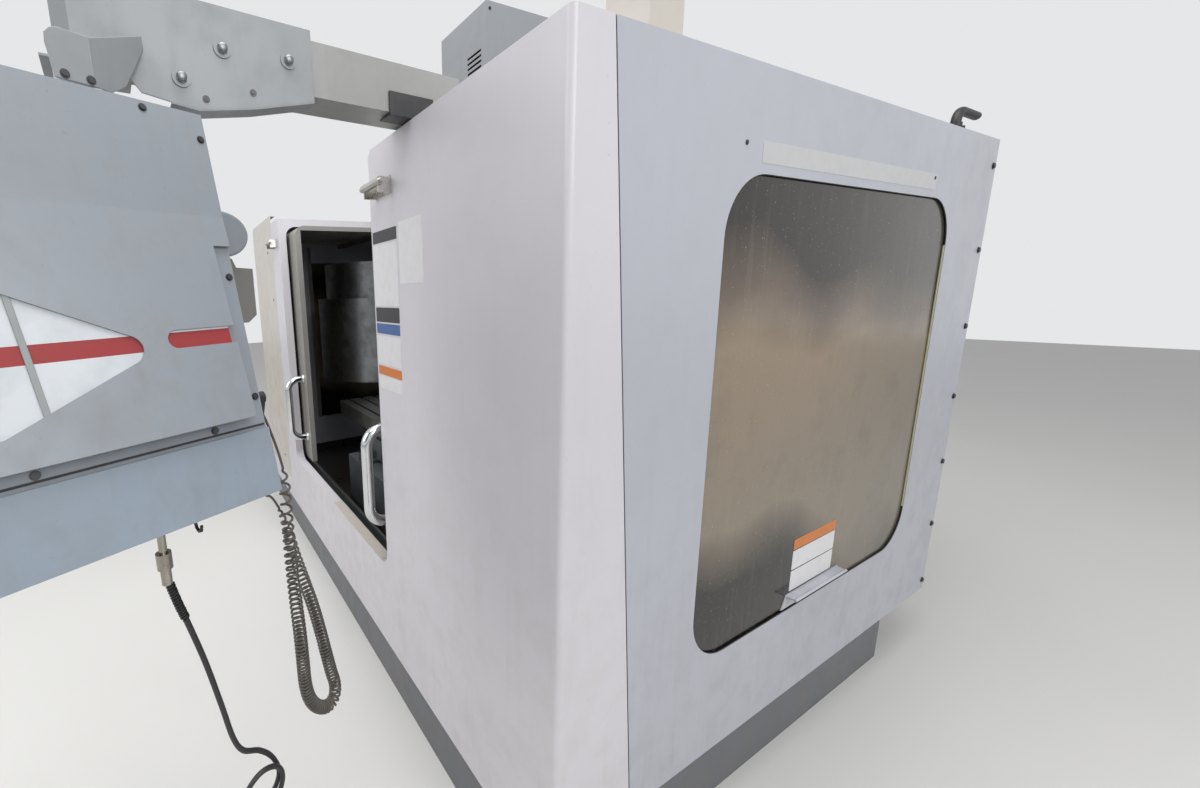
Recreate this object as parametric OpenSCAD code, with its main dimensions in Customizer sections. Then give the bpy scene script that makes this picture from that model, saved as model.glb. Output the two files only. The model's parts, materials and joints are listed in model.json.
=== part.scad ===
// Vertical machining center with a full enclosure.
// X runs to the operator's right, Y to the rear, Z up. The reference point lies on the floor,
// on the middle of the door bay.

/* [Enclosure] */
// Width over the side sheets
enc_w = 3000; // [2980:10:3100]
// Distance from the reference point forward to the front sheet
front_d = 1000; // [995:5:1040]
// Distance from the reference point back to the rear edge of the side sheets
rear_d = 930; // [930:5:1000]
// Height of the top edge above the floor
top_z = 1896; // [1890:2:1940]
// Thickness of the folded sheets
sheet_t = 3; // [2:0.5:4]
// Height of the front sheet's lower edge
apron_z = 168; // [140:4:200]
// Height of the side sheets' lower edge
side_z = 245; // [225:5:248]
// Outer radius of the vertical bend at the front corner
corner_r = 12; // [8:1:20]

/* [Door bay] */
// Width of the bay
bay_w = 1340; // [1300:10:1360]
// Height of the bay's lower edge
sill_z = 496; // [490:2:500]
// Radius of the bay's lower corners
bay_r = 60; // [30:5:80]
// Depth of the fold round the bay
fold_d = 42; // [36:2:44]
// Radius inside the upper corner of the fold
fold_r = 54; // [44:2:60]
// Width of the sheet left of the bay
strip_w = 195; // [180:5:220]

/* [Doors] */
// Width of one door
door_w = 700; // [695:5:720]
// Depth of the door's edge
door_t = 28; // [24:1:30]
// How far an open door still reaches into the bay
door_show = 142; // [120:2:150]
// Outer radius between the door's face and its roof
door_r = 50; // [35:5:60]
// Diameter of the handle tube
handle_dia = 40; // [30:2:44]
// Height of the handle over its feet
handle_h = 389; // [340:5:420]

/* [Side windows] */
// Width of the opening
win_w = 1174; // [1100:10:1180]
// Height of the opening
win_h = 1150; // [1100:10:1160]
// Height of the opening's lower edge
win_z = 538; // [530:2:545]
// Radius of the opening's corners
win_r = 135; // [100:5:150]
// Thickness of the clear panes
pane_t = 6; // [4:1:7]

/* [Base and column] */
// Width of the dark skirt
skirt_w = 2918; // [2900:2:2930]
// Height of the skirt
skirt_h = 250; // [249:1:256]
// Height of the base casting's top
base_z = 560; // [540:5:580]
// Width of the column
col_w = 520; // [480:10:560]
// Height of the column's top
col_z = 2300; // [2260:10:2400]
// Spacing of the guide rails on the column
z_rail_gap = 340; // [320:5:360]

/* [Table] */
// Length of the table
table_l = 1219; // [1100:1:1300]
// Width of the table
table_w = 457; // [440:1:460]
// Thickness of the table
table_h = 95; // [85:1:110]
// Number of T-slots
slot_count = 5; // [3:1:5]
// Spacing of the T-slots
slot_pitch = 85; // [80:1:88]
// Width of the slot's neck
slot_neck = 16; // [14:1:18]
// Height of the table's upper face
table_z = 810; // [805:1:820]

/* [Head] */
// Width of the head cover
cover_w = 384; // [360:2:400]
// Distance from the spindle axis forward to the column's rails
throat = 650; // [640:5:670]
// Radius of the spindle bearing bore
spindle_bore_r = 45; // [40:1:50]
// Radial running clearance of the shafts
run_gap = 0.05; // [0.02:0.01:0.09]

/* [Tool changer] */
// Radius of the upper drum
drum_r = 370; // [360:2:380]
// Radius of the lower drum
drum_low_r = 428; // [420:2:436]
// Radius of the pocket circle
pocket_circle_r = 300; // [290:2:310]
// Number of pockets
pocket_count = 20; // [16:1:20]

/* [Pendant] */
// Width of the pendant
pend_w = 460; // [440:5:480]
// Height of the pendant
pend_h = 722; // [700:2:740]
// Depth at the top
pend_d = 160; // [150:5:180]
// Lean of the rear face, degrees
pend_lean = 12.6; // [8:0.2:14]
// Width of the arm tube
arm_w = 110; // [100:2:116]
// Height of the arm tube
arm_h = 114; // [104:2:120]
// Outer diameter of the curly cord
coil_dia = 32; // [24:1:36]

/* [Hidden] */
$fn = 64;

// Clearance between pieces that move past each other
gap = 0.3;
enc_r = enc_w / 2;
front_y = -front_d;
bay_x = bay_w / 2;
strip_x = -bay_x - strip_w;
band_h = 42;
weld_y = front_y + 84;
skirt_x = skirt_w / 2;
skirt_front = front_y + 7;
skirt_rear = 710;
skirt_t = 4;
plate_z = 300;
plate_top = 1940;

// Slanted seam between the front panel's return and the side panel
seam_top = front_y + 92;
seam_low = front_y + 237;
function seam_y(z) = seam_low + (z - side_z) * (seam_top - seam_low) / (top_z - side_z);

// Doors
door_y = front_y + 60;
door_z0 = 506;
door_top = 1842;
door_roof_end = -430;
door_band_h = 24;
door_edge = -bay_x + door_show;
door_pane_x0 = door_edge - door_w + 70;
door_pane_w = 460;
door_pane_z = 640;
door_pane_h = 1060;
handle_x = door_edge - 72;
handle_z = 625;
handle_reach = 90;
handle_bend = 60;
track_x = bay_x - door_show + door_w + 60;
track_end = 40;

// Side windows
win_y = 19;
pane_margin = 40;
pane_gap = 3;
pane_x = enc_r - sheet_t - pane_gap - pane_t;
pane_z0 = win_z - 18;
pane_h = win_h + 36;
pane_w = win_w + 2 * pane_margin;
guide_w = 26;

// Guides and slides
base_w = 800;
base_front = -760;
foot_screw_r = 12;
foot_x = 330;
foot_ys = [-650, 570];
table_x = -92;
table_y = front_y + 536;
rail_w = 45;
y_rail_gap = 420;
y_rail_front = base_front;
y_rail_l = 1150;
spindle_y = -240;
rail_face_y = spindle_y + throat;
col_y = rail_face_y + 40;
col_d = 450;
head_z = 1700;
head_top = 2250;
nose_z = 1547;
shoe_gap = 0.3;
cover_front = -199;
cover_top = 2720;

// Tool changer
drum_x = -1055;
drum_y = spindle_y;
drum_top = 1668;
drum_step = 1440;
drum_low = 900;
drum_t = 4;
disc_r = 352;
disc_z = 1462;
disc_h = 34;
notch_x = 190;
notch_w = 260;
hub_r = 60;
disc_pin_r = 30;
hub_z = 1500;
beam_y = 40;
beam_d = 70;
beam_z = 1690;
beam_h = 80;

// Pendant and arm
hinge_x = 890;
hinge_y = front_y + 85;
arm_z = top_z + 12;
arm_yaw = 5.35;
post_r = 60;
pin_r = 25;
arm_l = 760;
arm_back = 70;
swivel_x = 1002;
swivel_y = front_y - 703;
swivel_r = 15;
pend_yaw = -68.6;
pend_back = 115;
pend_side = 170;
pend_z = 1817;
cabinet_w = 900;
cabinet_h = 1400;
cabinet_d = 320;
cabinet_x = 350;
cabinet_z = 400;

// Points along the cords, in the pendant's own frame
lead_route = [
  [-14, 95, -560], [-14, 95, -572], [-24, 97, -600], [-40, 100, -660], [-50, 100, -706], [-50, 100, -720]
];
coil_route = [
  [-50, 100, -720], [-50, 100, -780], [-50, 101, -880], [-55, 101, -1000], [-66, 101, -1130],
  [-84, 100, -1250], [-98, 96, -1310], [-122, 84, -1345], [-150, 70, -1325], [-156, 62, -1270],
  [-141, 60, -1198], [-103, 60, -1039], [-75, 60, -896], [-56, 60, -824], [-34, 58, -798],
  [0, 54, -778], [16, 50, -750], [16, 50, -723]
];
hose_route = [
  [200, 101, -843.3], [190, 101, -890], [179, 101, -934], [157, 101, -1033], [137, 101, -1146],
  [116, 101, -1259], [96, 101, -1290], [60, 101, -1310], [40, 104, -1345], [30, 110, -1395],
  [60, 116, -1425], [90, 118, -1400], [84, 112, -1360], [50, 106, -1350], [26, 96, -1385],
  [40, 90, -1440], [80, 90, -1465], [120, 96, -1480]
];
hose_dia = 11;
coupler_z = -842;
coupler_top = -coupler_z - 60;

// Box between two opposite corners
module blk(a, b) {
  translate(a) cube([b[0] - a[0], b[1] - a[1], b[2] - a[2]]);
}

// Sheet that stands across Y, drawn as X and Z
module sheet_front(pts, y, t) {
  translate([0, y + t, 0]) rotate([90, 0, 0]) linear_extrude(t) polygon(pts);
}

// Sheet that stands across X, drawn as Y and Z
module sheet_side(pts, x, t) {
  translate([x, 0, 0]) rotate([90, 0, 90]) linear_extrude(t) polygon(pts);
}

// Rounded rectangle from its lower left corner
module rounded(w, h, r) {
  translate([r, 0]) square([w - 2 * r, h]);
  translate([0, r]) square([w, h - 2 * r]);
  for (x = [r, w - r]) {
    for (y = [r, h - r]) {
      translate([x, y]) circle(r);
    }
  }
}

// Bay outline grown by g, open at the top
module bay_outline(g) {
  r = bay_r + g;
  translate([-bay_x - g, sill_z - g + r]) square([bay_w + 2 * g, top_z]);
  translate([-bay_x - g + r, sill_z - g]) square([bay_w + 2 * g - 2 * r, r + 1]);
  for (s = [-1, 1]) {
    translate([s * (bay_x + g - r), sill_z - g + r]) circle(r);
  }
}

// Fold along the top of the bay, with the inner radius of its front corner
module band_outline(y0, y1) {
  intersection() {
    translate([y0, sill_z]) square([y1 - y0, top_z - sill_z]);
    union() {
      translate([front_y, top_z - band_h]) square([rear_d - front_y, band_h]);
      difference() {
        translate([front_y + fold_d, top_z - band_h - fold_r]) square([fold_r, fold_r + 1]);
        translate([front_y + fold_d + fold_r, top_z - band_h - fold_r]) circle(fold_r);
      }
    }
  }
}

module base_casting() {
  color("#5A5E62")
  difference() {
    union() {
      blk([-base_w / 2, base_front, 60], [base_w / 2, col_y - 20, base_z]);
      blk([-col_w / 2 - 60, col_y - 20, 60], [col_w / 2 + 60, col_y + col_d + 20, base_z]);
      for (s = [-1, 1]) {
        translate([s * y_rail_gap / 2, y_rail_front, 0]) blk([-40, 0, base_z], [40, y_rail_l, base_z + 20]);
      }
    }
    for (x = [-foot_x, foot_x]) {
      for (y = foot_ys) {
        translate([x, y, 50]) cylinder(r = foot_screw_r, h = 80);
      }
    }
  }
}

module levelling_feet() {
  color("#3A3C3E")
  for (x = [-foot_x, foot_x]) {
    for (y = foot_ys) {
      translate([x, y, 0]) {
        cylinder(r = 55, h = 18);
        cylinder(r = foot_screw_r, h = 125);
        translate([0, 0, 44]) cylinder(r = 20, h = 16, $fn = 6);
      }
    }
  }
}

module base_skirt() {
  color("#6D6A70")
  difference() {
    blk([-skirt_x, skirt_front, 0], [skirt_x, skirt_rear, skirt_h]);
    blk([-skirt_x + skirt_t, skirt_front + skirt_t, -1],
        [skirt_x - skirt_t, skirt_rear - skirt_t, skirt_h - skirt_t]);
    blk([-skirt_x + 40, skirt_front + 40, 1], [skirt_x - 40, skirt_rear - 40, skirt_h + 1]);
    blk([-560, skirt_rear - 60, -1], [560, skirt_rear + 1, skirt_h + 1]);
  }
}

module chip_pan() {
  pan_x = skirt_x - skirt_t;
  pan_y0 = skirt_front + skirt_t;
  hole_x = base_w / 2 + gap;
  hole_y = base_front - gap;
  wall = 60;
  color("#2F2B29")
  difference() {
    blk([-pan_x, pan_y0, skirt_h], [pan_x, skirt_rear, skirt_h + wall]);
    difference() {
      blk([-pan_x + sheet_t, pan_y0 + sheet_t, skirt_h + sheet_t],
          [pan_x - sheet_t, skirt_rear - sheet_t, skirt_h + wall + 1]);
      blk([-hole_x - sheet_t, hole_y - sheet_t, 0], [hole_x + sheet_t, skirt_rear, 900]);
    }
    blk([-hole_x, hole_y, 0], [hole_x, skirt_rear + 1, 900]);
  }
}

module column() {
  color("#8A8C8C")
  difference() {
    union() {
      blk([-col_w / 2, col_y, base_z], [col_w / 2, col_y + col_d, col_z]);
      blk([-col_w / 2 - 50, col_y, base_z], [col_w / 2 + 50, col_y + col_d + 20, base_z + 60]);
      for (s = [-1, 1]) {
        blk([s * z_rail_gap / 2 - 40, col_y - 20, base_z + 300], [s * z_rail_gap / 2 + 40, col_y, col_z]);
      }
    }
    blk([-col_w / 2 + 40, col_y + 60, base_z + 100], [col_w / 2 - 40, col_y + col_d - 40, col_z - 60]);
    blk([-70, col_y - 1, base_z + 300], [70, col_y + 61, col_z - 100]);
  }
}

module guide_rails() {
  color("#B9BCBE")
  for (s = [-1, 1]) {
    translate([s * y_rail_gap / 2, y_rail_front, base_z + 20])
      blk([-rail_w / 2, 0, 0], [rail_w / 2, y_rail_l, 40]);
    translate([s * z_rail_gap / 2, rail_face_y, base_z + 320])
      blk([-rail_w / 2, -20, 0], [rail_w / 2, 20, col_z - base_z - 330]);
  }
}

module front_panel() {
  x1 = enc_r - corner_r;
  clip = 18;
  color("#CDC8CC") {
    difference() {
      union() {
        sheet_front([
          [-enc_r, apron_z], [x1, apron_z], [x1, top_z], [strip_x, top_z],
          [strip_x, plate_z], [-enc_r, plate_z]
        ], front_y, sheet_t);
        blk([bay_x, front_y, top_z - sheet_t], [x1, weld_y, top_z]);
        blk([strip_x, front_y, top_z - sheet_t], [-bay_x, weld_y, top_z]);
        for (x = [-bay_x - sheet_t, bay_x]) {
          translate([x, 0, 0]) rotate([90, 0, 90]) linear_extrude(sheet_t) band_outline(front_y, weld_y);
        }
        translate([0, front_y + fold_d, 0]) rotate([90, 0, 0]) linear_extrude(fold_d)
          intersection() {
            bay_outline(sheet_t);
            translate([-enc_r, 0]) square([enc_w, top_z]);
          }
        blk([-enc_r, front_y, apron_z], [x1, skirt_front, apron_z + sheet_t]);
      }
      translate([0, front_y + 200, 0]) rotate([90, 0, 0]) linear_extrude(300) bay_outline(0);
      translate([bay_x, front_y, top_z]) rotate([0, 45, 0])
        cube([clip * 1.41, 60, clip * 1.41], center = true);
    }
    translate([x1, front_y + corner_r, apron_z]) intersection() {
      difference() {
        cylinder(r = corner_r, h = top_z - apron_z);
        translate([0, 0, -1]) cylinder(r = corner_r - sheet_t, h = top_z - apron_z + 2);
      }
      blk([0, -corner_r - 1, -1], [corner_r + 1, 0, top_z]);
    }
    sheet_side([
      [front_y, apron_z], [seam_y(apron_z), apron_z], [seam_y(plate_z), plate_z], [front_y, plate_z]
    ], -enc_r, sheet_t);
    sheet_side([
      [front_y + corner_r, apron_z], [seam_y(apron_z), apron_z], [seam_y(top_z), top_z],
      [front_y + corner_r, top_z]
    ], enc_r - sheet_t, sheet_t);
  }
}

module sill_cap() {
  cap_x = 50;
  color("#D2CDC9") {
    blk([cap_x, front_y, sill_z], [bay_x - bay_r, front_y + fold_d, sill_z + 2]);
  }
}

module left_end_plate() {
  inset = 1;
  color("#CFC4BA") {
    sheet_front([
      [-enc_r, plate_z], [strip_x - inset, plate_z], [strip_x - inset, plate_top],
      [-enc_r + 40, plate_top], [-enc_r, plate_top - 30]
    ], front_y, sheet_t);
    sheet_side([
      [front_y + sheet_t, plate_z], [seam_y(plate_z), plate_z], [seam_y(top_z), top_z],
      [seam_y(top_z), plate_top - 30], [front_y + sheet_t, plate_top - 30]
    ], -enc_r, sheet_t);
    blk([-enc_r + 40, front_y + sheet_t, plate_top - sheet_t], [strip_x - inset, front_y + 30, plate_top]);
  }
}

// Right side panel; the left one mirrors it
module side_panel() {
  seam_gap = 3;
  flange = 30;
  color("#A9ABB3") {
    difference() {
      sheet_side([
        [seam_y(side_z) + seam_gap, side_z], [rear_d, side_z], [rear_d, top_z],
        [seam_y(top_z) + seam_gap, top_z]
      ], enc_r - sheet_t, sheet_t);
      translate([enc_r - 10, win_y - win_w / 2, win_z]) rotate([90, 0, 90])
        linear_extrude(20) rounded(win_w, win_h, win_r);
    }
    sheet_side([
      [seam_y(side_z) - flange, side_z], [seam_y(side_z) + flange, side_z],
      [seam_y(top_z) + flange, top_z - sheet_t], [seam_y(top_z) - flange, top_z - sheet_t]
    ], enc_r - 2 * sheet_t, sheet_t);
    blk([enc_r - flange, rear_d - sheet_t, side_z], [enc_r - sheet_t, rear_d, top_z]);
    blk([skirt_x, seam_y(side_z) + seam_gap, side_z], [enc_r - sheet_t, skirt_rear, side_z + sheet_t]);
  }
}

module side_panel_right() {
  side_panel();
}

module side_panel_left() {
  mirror([1, 0, 0]) side_panel();
}

// Right roof; the left one mirrors it
module roof() {
  color("#C9C6C8") {
    blk([bay_x, weld_y, top_z - sheet_t], [enc_r - 2 * sheet_t, rear_d - sheet_t, top_z]);
    translate([bay_x, 0, 0]) rotate([90, 0, 90]) linear_extrude(sheet_t)
      intersection() {
        band_outline(weld_y, rear_d - 2 * sheet_t);
        translate([front_y, 0]) square([rear_d - front_y, top_z - sheet_t]);
      }
  }
}

module roof_right() {
  roof();
}

module roof_left() {
  mirror([1, 0, 0]) roof();
}

module rear_panels() {
  inner_x = col_w / 2 - 60;
  color("#B4B4B8")
  for (s = [0, 1]) {
    mirror([s, 0, 0]) {
      blk([inner_x, rear_d - 2 * sheet_t, side_z], [enc_r - sheet_t, rear_d - sheet_t, top_z - sheet_t]);
    }
  }
}

module window_guides() {
  channel_h = win_h + 150;
  lip = 12;
  color("#8F8D88")
  for (s = [0, 1]) {
    mirror([s, 0, 0]) {
      for (e = [-1, 1]) {
        translate([0, win_y + e * (pane_w / 2 - lip), 0]) {
          blk([pane_x - 4, -guide_w / 2 + e * guide_w / 2, pane_z0 - 5],
              [pane_x - gap, guide_w / 2 + e * guide_w / 2, pane_z0 + channel_h]);
          blk([pane_x - gap, e * (lip + gap) + (e - 1) * 7, pane_z0 - 5],
              [enc_r - sheet_t, e * (lip + gap) + (e + 1) * 7, pane_z0 + channel_h]);
        }
      }
      blk([pane_x - 4, win_y - pane_w / 2 + 40, pane_z0 - 5],
          [enc_r - sheet_t, win_y + pane_w / 2 - 40, pane_z0 - gap]);
    }
  }
}

module door_tracks() {
  upper_y = door_roof_end - 15;
  color("#77797A") {
    blk([-track_x, door_y + 6, door_z0 - 40], [track_x, door_y + 18, door_z0 - gap]);
    blk([-track_x, front_y + sheet_t, door_z0 - 44], [track_x, door_y + 18, door_z0 - 40]);
    blk([-track_x, upper_y, door_top - door_band_h - 28],
        [track_x, upper_y + 18, door_top - door_band_h - gap]);
    for (s = [-1, 1]) {
      blk([s * (track_x - track_end / 2) - track_end / 2, upper_y, door_top - door_band_h - gap],
          [s * (track_x - track_end / 2) + track_end / 2, upper_y + 18, top_z - sheet_t]);
    }
  }
}

module door_catches() {
  catch_x = 774;
  catch_z = 1776;
  color("#B8B5B0")
  for (s = [-1, 1]) {
    translate([s * catch_x, front_y, catch_z]) {
      blk([-55, -4, -30], [55, 0, 18]);
      blk([-55, -40, -30], [-49, -4, 12]);
      blk([49, -40, -30], [55, -4, 12]);
      translate([-64, -36, 0]) rotate([0, 90, 0]) cylinder(r = 11, h = 128);
      translate([-80, -36, 0]) rotate([0, 90, 0]) cylinder(r = 7, h = 160);
    }
  }
}

module changer_rail() {
  color("#7D8082") {
    blk([-enc_r + 60, beam_y, beam_z], [-230, beam_y + beam_d, beam_z + beam_h]);
    blk([-460, beam_y, beam_z + beam_h], [-col_w / 2 - 30, col_y + 200, beam_z + beam_h + 40]);
    blk([-col_w / 2 - 30, col_y + 60, beam_z - 60], [-col_w / 2, col_y + 200, beam_z + beam_h + 60]);
  }
}

module control_cabinet() {
  t = 4;
  x1 = cabinet_x + cabinet_w;
  y0 = rear_d;
  color("#C3C0BC") {
    difference() {
      blk([cabinet_x, y0, cabinet_z], [x1, y0 + cabinet_d, cabinet_z + cabinet_h]);
      blk([cabinet_x + t, y0 + t, cabinet_z + t], [x1 - t, y0 + cabinet_d + 1, cabinet_z + cabinet_h - t]);
    }
    blk([cabinet_x, y0 - sheet_t, cabinet_z + 100], [x1, y0, cabinet_z + cabinet_h - 100]);
    blk([cabinet_x + 80, y0 + t, cabinet_z + 120], [x1 - 80, y0 + t + 60, cabinet_z + cabinet_h - 120]);
    for (z = [cabinet_z + 200, cabinet_z + cabinet_h - 300]) {
      translate([cabinet_x - 9, y0 + cabinet_d + 9, z]) {
        cylinder(r = 5, h = 60);
        blk([-5, -60, 0], [9, -9, 30]);
        blk([-5, -9, 0], [0, 0, 30]);
      }
    }
  }
}

module cabinet_door() {
  x1 = cabinet_x + cabinet_w;
  y1 = rear_d + cabinet_d;
  color("#C9C6C1")
  difference() {
    union() {
      blk([cabinet_x - 2, y1 + gap, cabinet_z], [x1 + 2, y1 + 22, cabinet_z + cabinet_h]);
      for (z = [cabinet_z + 200, cabinet_z + cabinet_h - 300]) {
        translate([cabinet_x - 9, y1 + 9, z + 30 + gap]) {
          cylinder(r = 9, h = 60);
          blk([0, 3, 0], [9, 9, 60]);
        }
      }
      blk([x1 - 60, y1 + 22, cabinet_z + 640], [x1 - 30, y1 + 44, cabinet_z + 800]);
    }
    for (z = [cabinet_z + 200, cabinet_z + cabinet_h - 300]) {
      translate([cabinet_x - 9, y1 + 9, z + 20]) cylinder(r = 5 + run_gap, h = 80);
      translate([cabinet_x - 9, y1 + 9, z - 1]) cylinder(r = 9 + gap, h = 31 + gap);
    }
  }
}

module roof_box() {
  y0 = front_y + 173;
  color("#CFC9BF")
  difference() {
    blk([enc_r - 92, y0, top_z], [enc_r, y0 + 88, top_z + 150]);
    blk([enc_r - 89, y0 + 3, top_z - 1], [enc_r - 3, y0 + 85, top_z + 147]);
  }
}

module cable_gland() {
  hose_y = 640;
  bend = 40;
  color("#1F1F21")
  translate([enc_r - 30, hose_y, top_z]) {
    cylinder(r = 22, h = 14, $fn = 6);
    cylinder(r = 15, h = 26);
    translate([0, bend, 26]) rotate([90, 0, 90])
      rotate_extrude(angle = 90, start = 90) translate([bend, 0]) circle(12, $fn = 24);
    translate([0, bend, 26 + bend]) rotate([-90, 0, 0]) cylinder(r = 12, h = 120, $fn = 24);
  }
}

module arm_post() {
  color("#2B2C2E") {
    translate([hinge_x, hinge_y, top_z]) {
      cylinder(r = post_r, h = 11.7);
      cylinder(r = pin_r, h = 12 + arm_h - 20);
    }
    blk([hinge_x - 130, hinge_y - 75, top_z], [hinge_x - post_r + 5, hinge_y + 75, top_z + 6]);
    blk([hinge_x + post_r - 5, hinge_y - 75, top_z], [hinge_x + 130, hinge_y + 75, top_z + 6]);
  }
}

module saddle() {
  s_w = 560;
  s_l = 420;
  color("#6E7173")
  translate([0, table_y, 0])
  difference() {
    blk([-s_w / 2, -s_l / 2, base_z + 20 + shoe_gap], [s_w / 2, s_l / 2, table_z - table_h - 20]);
    for (s = [-1, 1]) {
      blk([s * y_rail_gap / 2 - rail_w / 2 - shoe_gap, -s_l / 2 - 1, base_z],
          [s * y_rail_gap / 2 + rail_w / 2 + shoe_gap, s_l / 2 + 1, base_z + 60 + shoe_gap]);
      translate([0, s * 130, 0])
        blk([-s_w / 2 - 1, -30, table_z - table_h - 40], [s_w / 2 + 1, 30, table_z]);
    }
    blk([-120, -s_l / 2 - 1, base_z], [120, s_l / 2 + 1, base_z + 60]);
  }
}

module table() {
  z0 = table_z - table_h;
  rib_h = 40 + 20 - 2 * gap;
  color("#9A9C9C")
  translate([table_x, table_y, 0])
  difference() {
    union() {
      blk([-table_l / 2, -table_w / 2, z0], [table_l / 2, table_w / 2, table_z]);
      for (s = [-1, 1]) {
        translate([0, s * 130, 0])
          blk([-table_l / 2 + 60, -30 + gap, z0 - 40 + gap], [table_l / 2 - 60, 30 - gap, z0]);
      }
    }
    for (i = [0 : slot_count - 1]) {
      y = (i - (slot_count - 1) / 2) * slot_pitch;
      blk([-table_l / 2 - 1, y - slot_neck / 2, table_z - 18],
          [table_l / 2 + 1, y + slot_neck / 2, table_z + 1]);
      blk([-table_l / 2 - 1, y - slot_neck, table_z - 32], [table_l / 2 + 1, y + slot_neck, table_z - 16]);
    }
    for (s = [-1, 1]) {
      blk([-table_l / 2 - 1, s * (table_w / 2 - 8) - 9, z0 - 1],
          [table_l / 2 + 1, s * (table_w / 2 - 8) + 9, z0 + 22]);
    }
  }
}

module head_casting() {
  shoe_w = 90;
  color("#8E9192")
  difference() {
    union() {
      blk([-150, -335, head_z], [150, rail_face_y - 110, head_z + 380]);
      blk([-230, rail_face_y - 110, head_z], [230, rail_face_y - 30, head_top]);
      for (s = [-1, 1]) {
        for (z = [head_z + 30, head_top - 170]) {
          translate([s * z_rail_gap / 2, 0, z])
            blk([-shoe_w / 2, rail_face_y - 30, 0], [shoe_w / 2, rail_face_y + 10, 140]);
        }
      }
      translate([0, spindle_y, nose_z + 33]) cylinder(r1 = 80, r2 = 95, h = 60);
      translate([0, spindle_y, nose_z + 93]) cylinder(r = 95, h = head_z - nose_z - 92);
    }
    translate([0, spindle_y, nose_z]) cylinder(r = spindle_bore_r, h = 700);
    for (s = [-1, 1]) {
      translate([s * z_rail_gap / 2, 0, head_z - 1])
        blk([-rail_w / 2 - shoe_gap, rail_face_y - 20 - shoe_gap, 0],
            [rail_w / 2 + shoe_gap, rail_face_y + 11, head_top - head_z + 2]);
      blk([s * 105 - 25, -300, head_z + 40], [s * 105 + 25, rail_face_y - 180, head_z + 381]);
    }
  }
}

module head_cover() {
  z0 = head_z + 380;
  t = 2;
  x = cover_w / 2;
  y1 = rail_face_y - 112;
  color("#8D9094")
  difference() {
    blk([-x, cover_front, z0], [x, y1, cover_top]);
    blk([-x + t, cover_front + t, z0 - 1], [x - t, y1 - t, cover_top - t]);
    for (i = [0 : 7]) {
      translate([40, cover_front - 1, 2380 + i * 22]) cube([110, t + 2, 10]);
    }
  }
}

module spindle_shaft() {
  taper_h = 68;
  color("#C8CACC")
  translate([0, spindle_y, nose_z])
  rotate_extrude()
    polygon([
      [22.2, 0], [64, 0], [64, 32.5], [spindle_bore_r - run_gap, 32.5],
      [spindle_bore_r - run_gap, 520], [30, 520], [30, 640], [12, 640], [12, taper_h],
      [22.2 - taper_h * 7 / 48, taper_h]
    ]);
}

module changer_carriage() {
  color("#5F6264") {
    blk([drum_x - 150, beam_y - 60, drum_top + 2], [drum_x + 60, beam_y + beam_d + 20, beam_z - gap]);
    for (s = [-1, 1]) {
      y = beam_y + beam_d / 2 + s * (beam_d / 2 + 10 + gap);
      blk([drum_x - 150, y - 10, drum_top + 2], [drum_x + 60, y + 10, beam_z + 60]);
    }
    blk([drum_x - 60, drum_y - 60, drum_top], [drum_x + 60, beam_y + 10, beam_z - gap]);
    translate([drum_x, drum_y, hub_z + 28]) cylinder(r = hub_r, h = drum_top - hub_z - 27);
    translate([drum_x, drum_y, disc_z - 30]) cylinder(r = disc_pin_r, h = 100);
  }
}

module carousel_cover() {
  color("#8C8E90")
  translate([drum_x, drum_y, 0])
  difference() {
    union() {
      translate([0, 0, drum_step]) cylinder(r = drum_r, h = drum_top - drum_step, $fn = 96);
      translate([0, 0, drum_low]) cylinder(r = drum_low_r, h = drum_step - drum_low, $fn = 96);
    }
    translate([0, 0, drum_low - 1])
      cylinder(r = drum_low_r - drum_t, h = drum_step - drum_low + 1 - drum_t, $fn = 96);
    translate([0, 0, drum_step - drum_t - 1])
      cylinder(r = drum_r - drum_t, h = drum_top - drum_step + 1, $fn = 96);
    translate([0, 0, drum_top - drum_t - 1]) cylinder(r = hub_r, h = drum_t + 2);
    blk([notch_x, -notch_w / 2, drum_low - 1], [drum_low_r + 1, notch_w / 2, drum_top + 1]);
  }
}

module carousel_disc() {
  jaw_w = 78;
  color("#A5A8AA")
  translate([drum_x, drum_y, 0])
  difference() {
    union() {
      translate([0, 0, disc_z]) cylinder(r = 262, h = disc_h, $fn = 96);
      translate([0, 0, disc_z]) cylinder(r = 70, h = hub_z + 27 - disc_z);
      for (i = [0 : pocket_count - 1]) {
        rotate([0, 0, i * 360 / pocket_count])
          translate([250, -jaw_w / 2, disc_z + 6]) cube([disc_r - 250 - 10, jaw_w, 20]);
      }
    }
    translate([0, 0, disc_z - 1]) cylinder(r = disc_pin_r + run_gap, h = 200);
    for (i = [0 : pocket_count - 1]) {
      rotate([0, 0, i * 360 / pocket_count]) {
        translate([pocket_circle_r, 0, disc_z - 1]) cylinder(r = 32, h = disc_h + 2);
        translate([pocket_circle_r, -26, disc_z - 1]) cube([80, 52, disc_h + 2]);
      }
    }
  }
}

// Door outline across X: face and roof with a round front edge
module door_outline(g, r) {
  translate([door_y + g + r, door_z0])
    square([door_roof_end - door_y - g - r, door_top - g - door_z0]);
  translate([door_y + g, door_z0]) square([r, door_top - g - r - door_z0]);
  translate([door_y + g + r, door_top - g - r]) circle(r);
}

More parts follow.
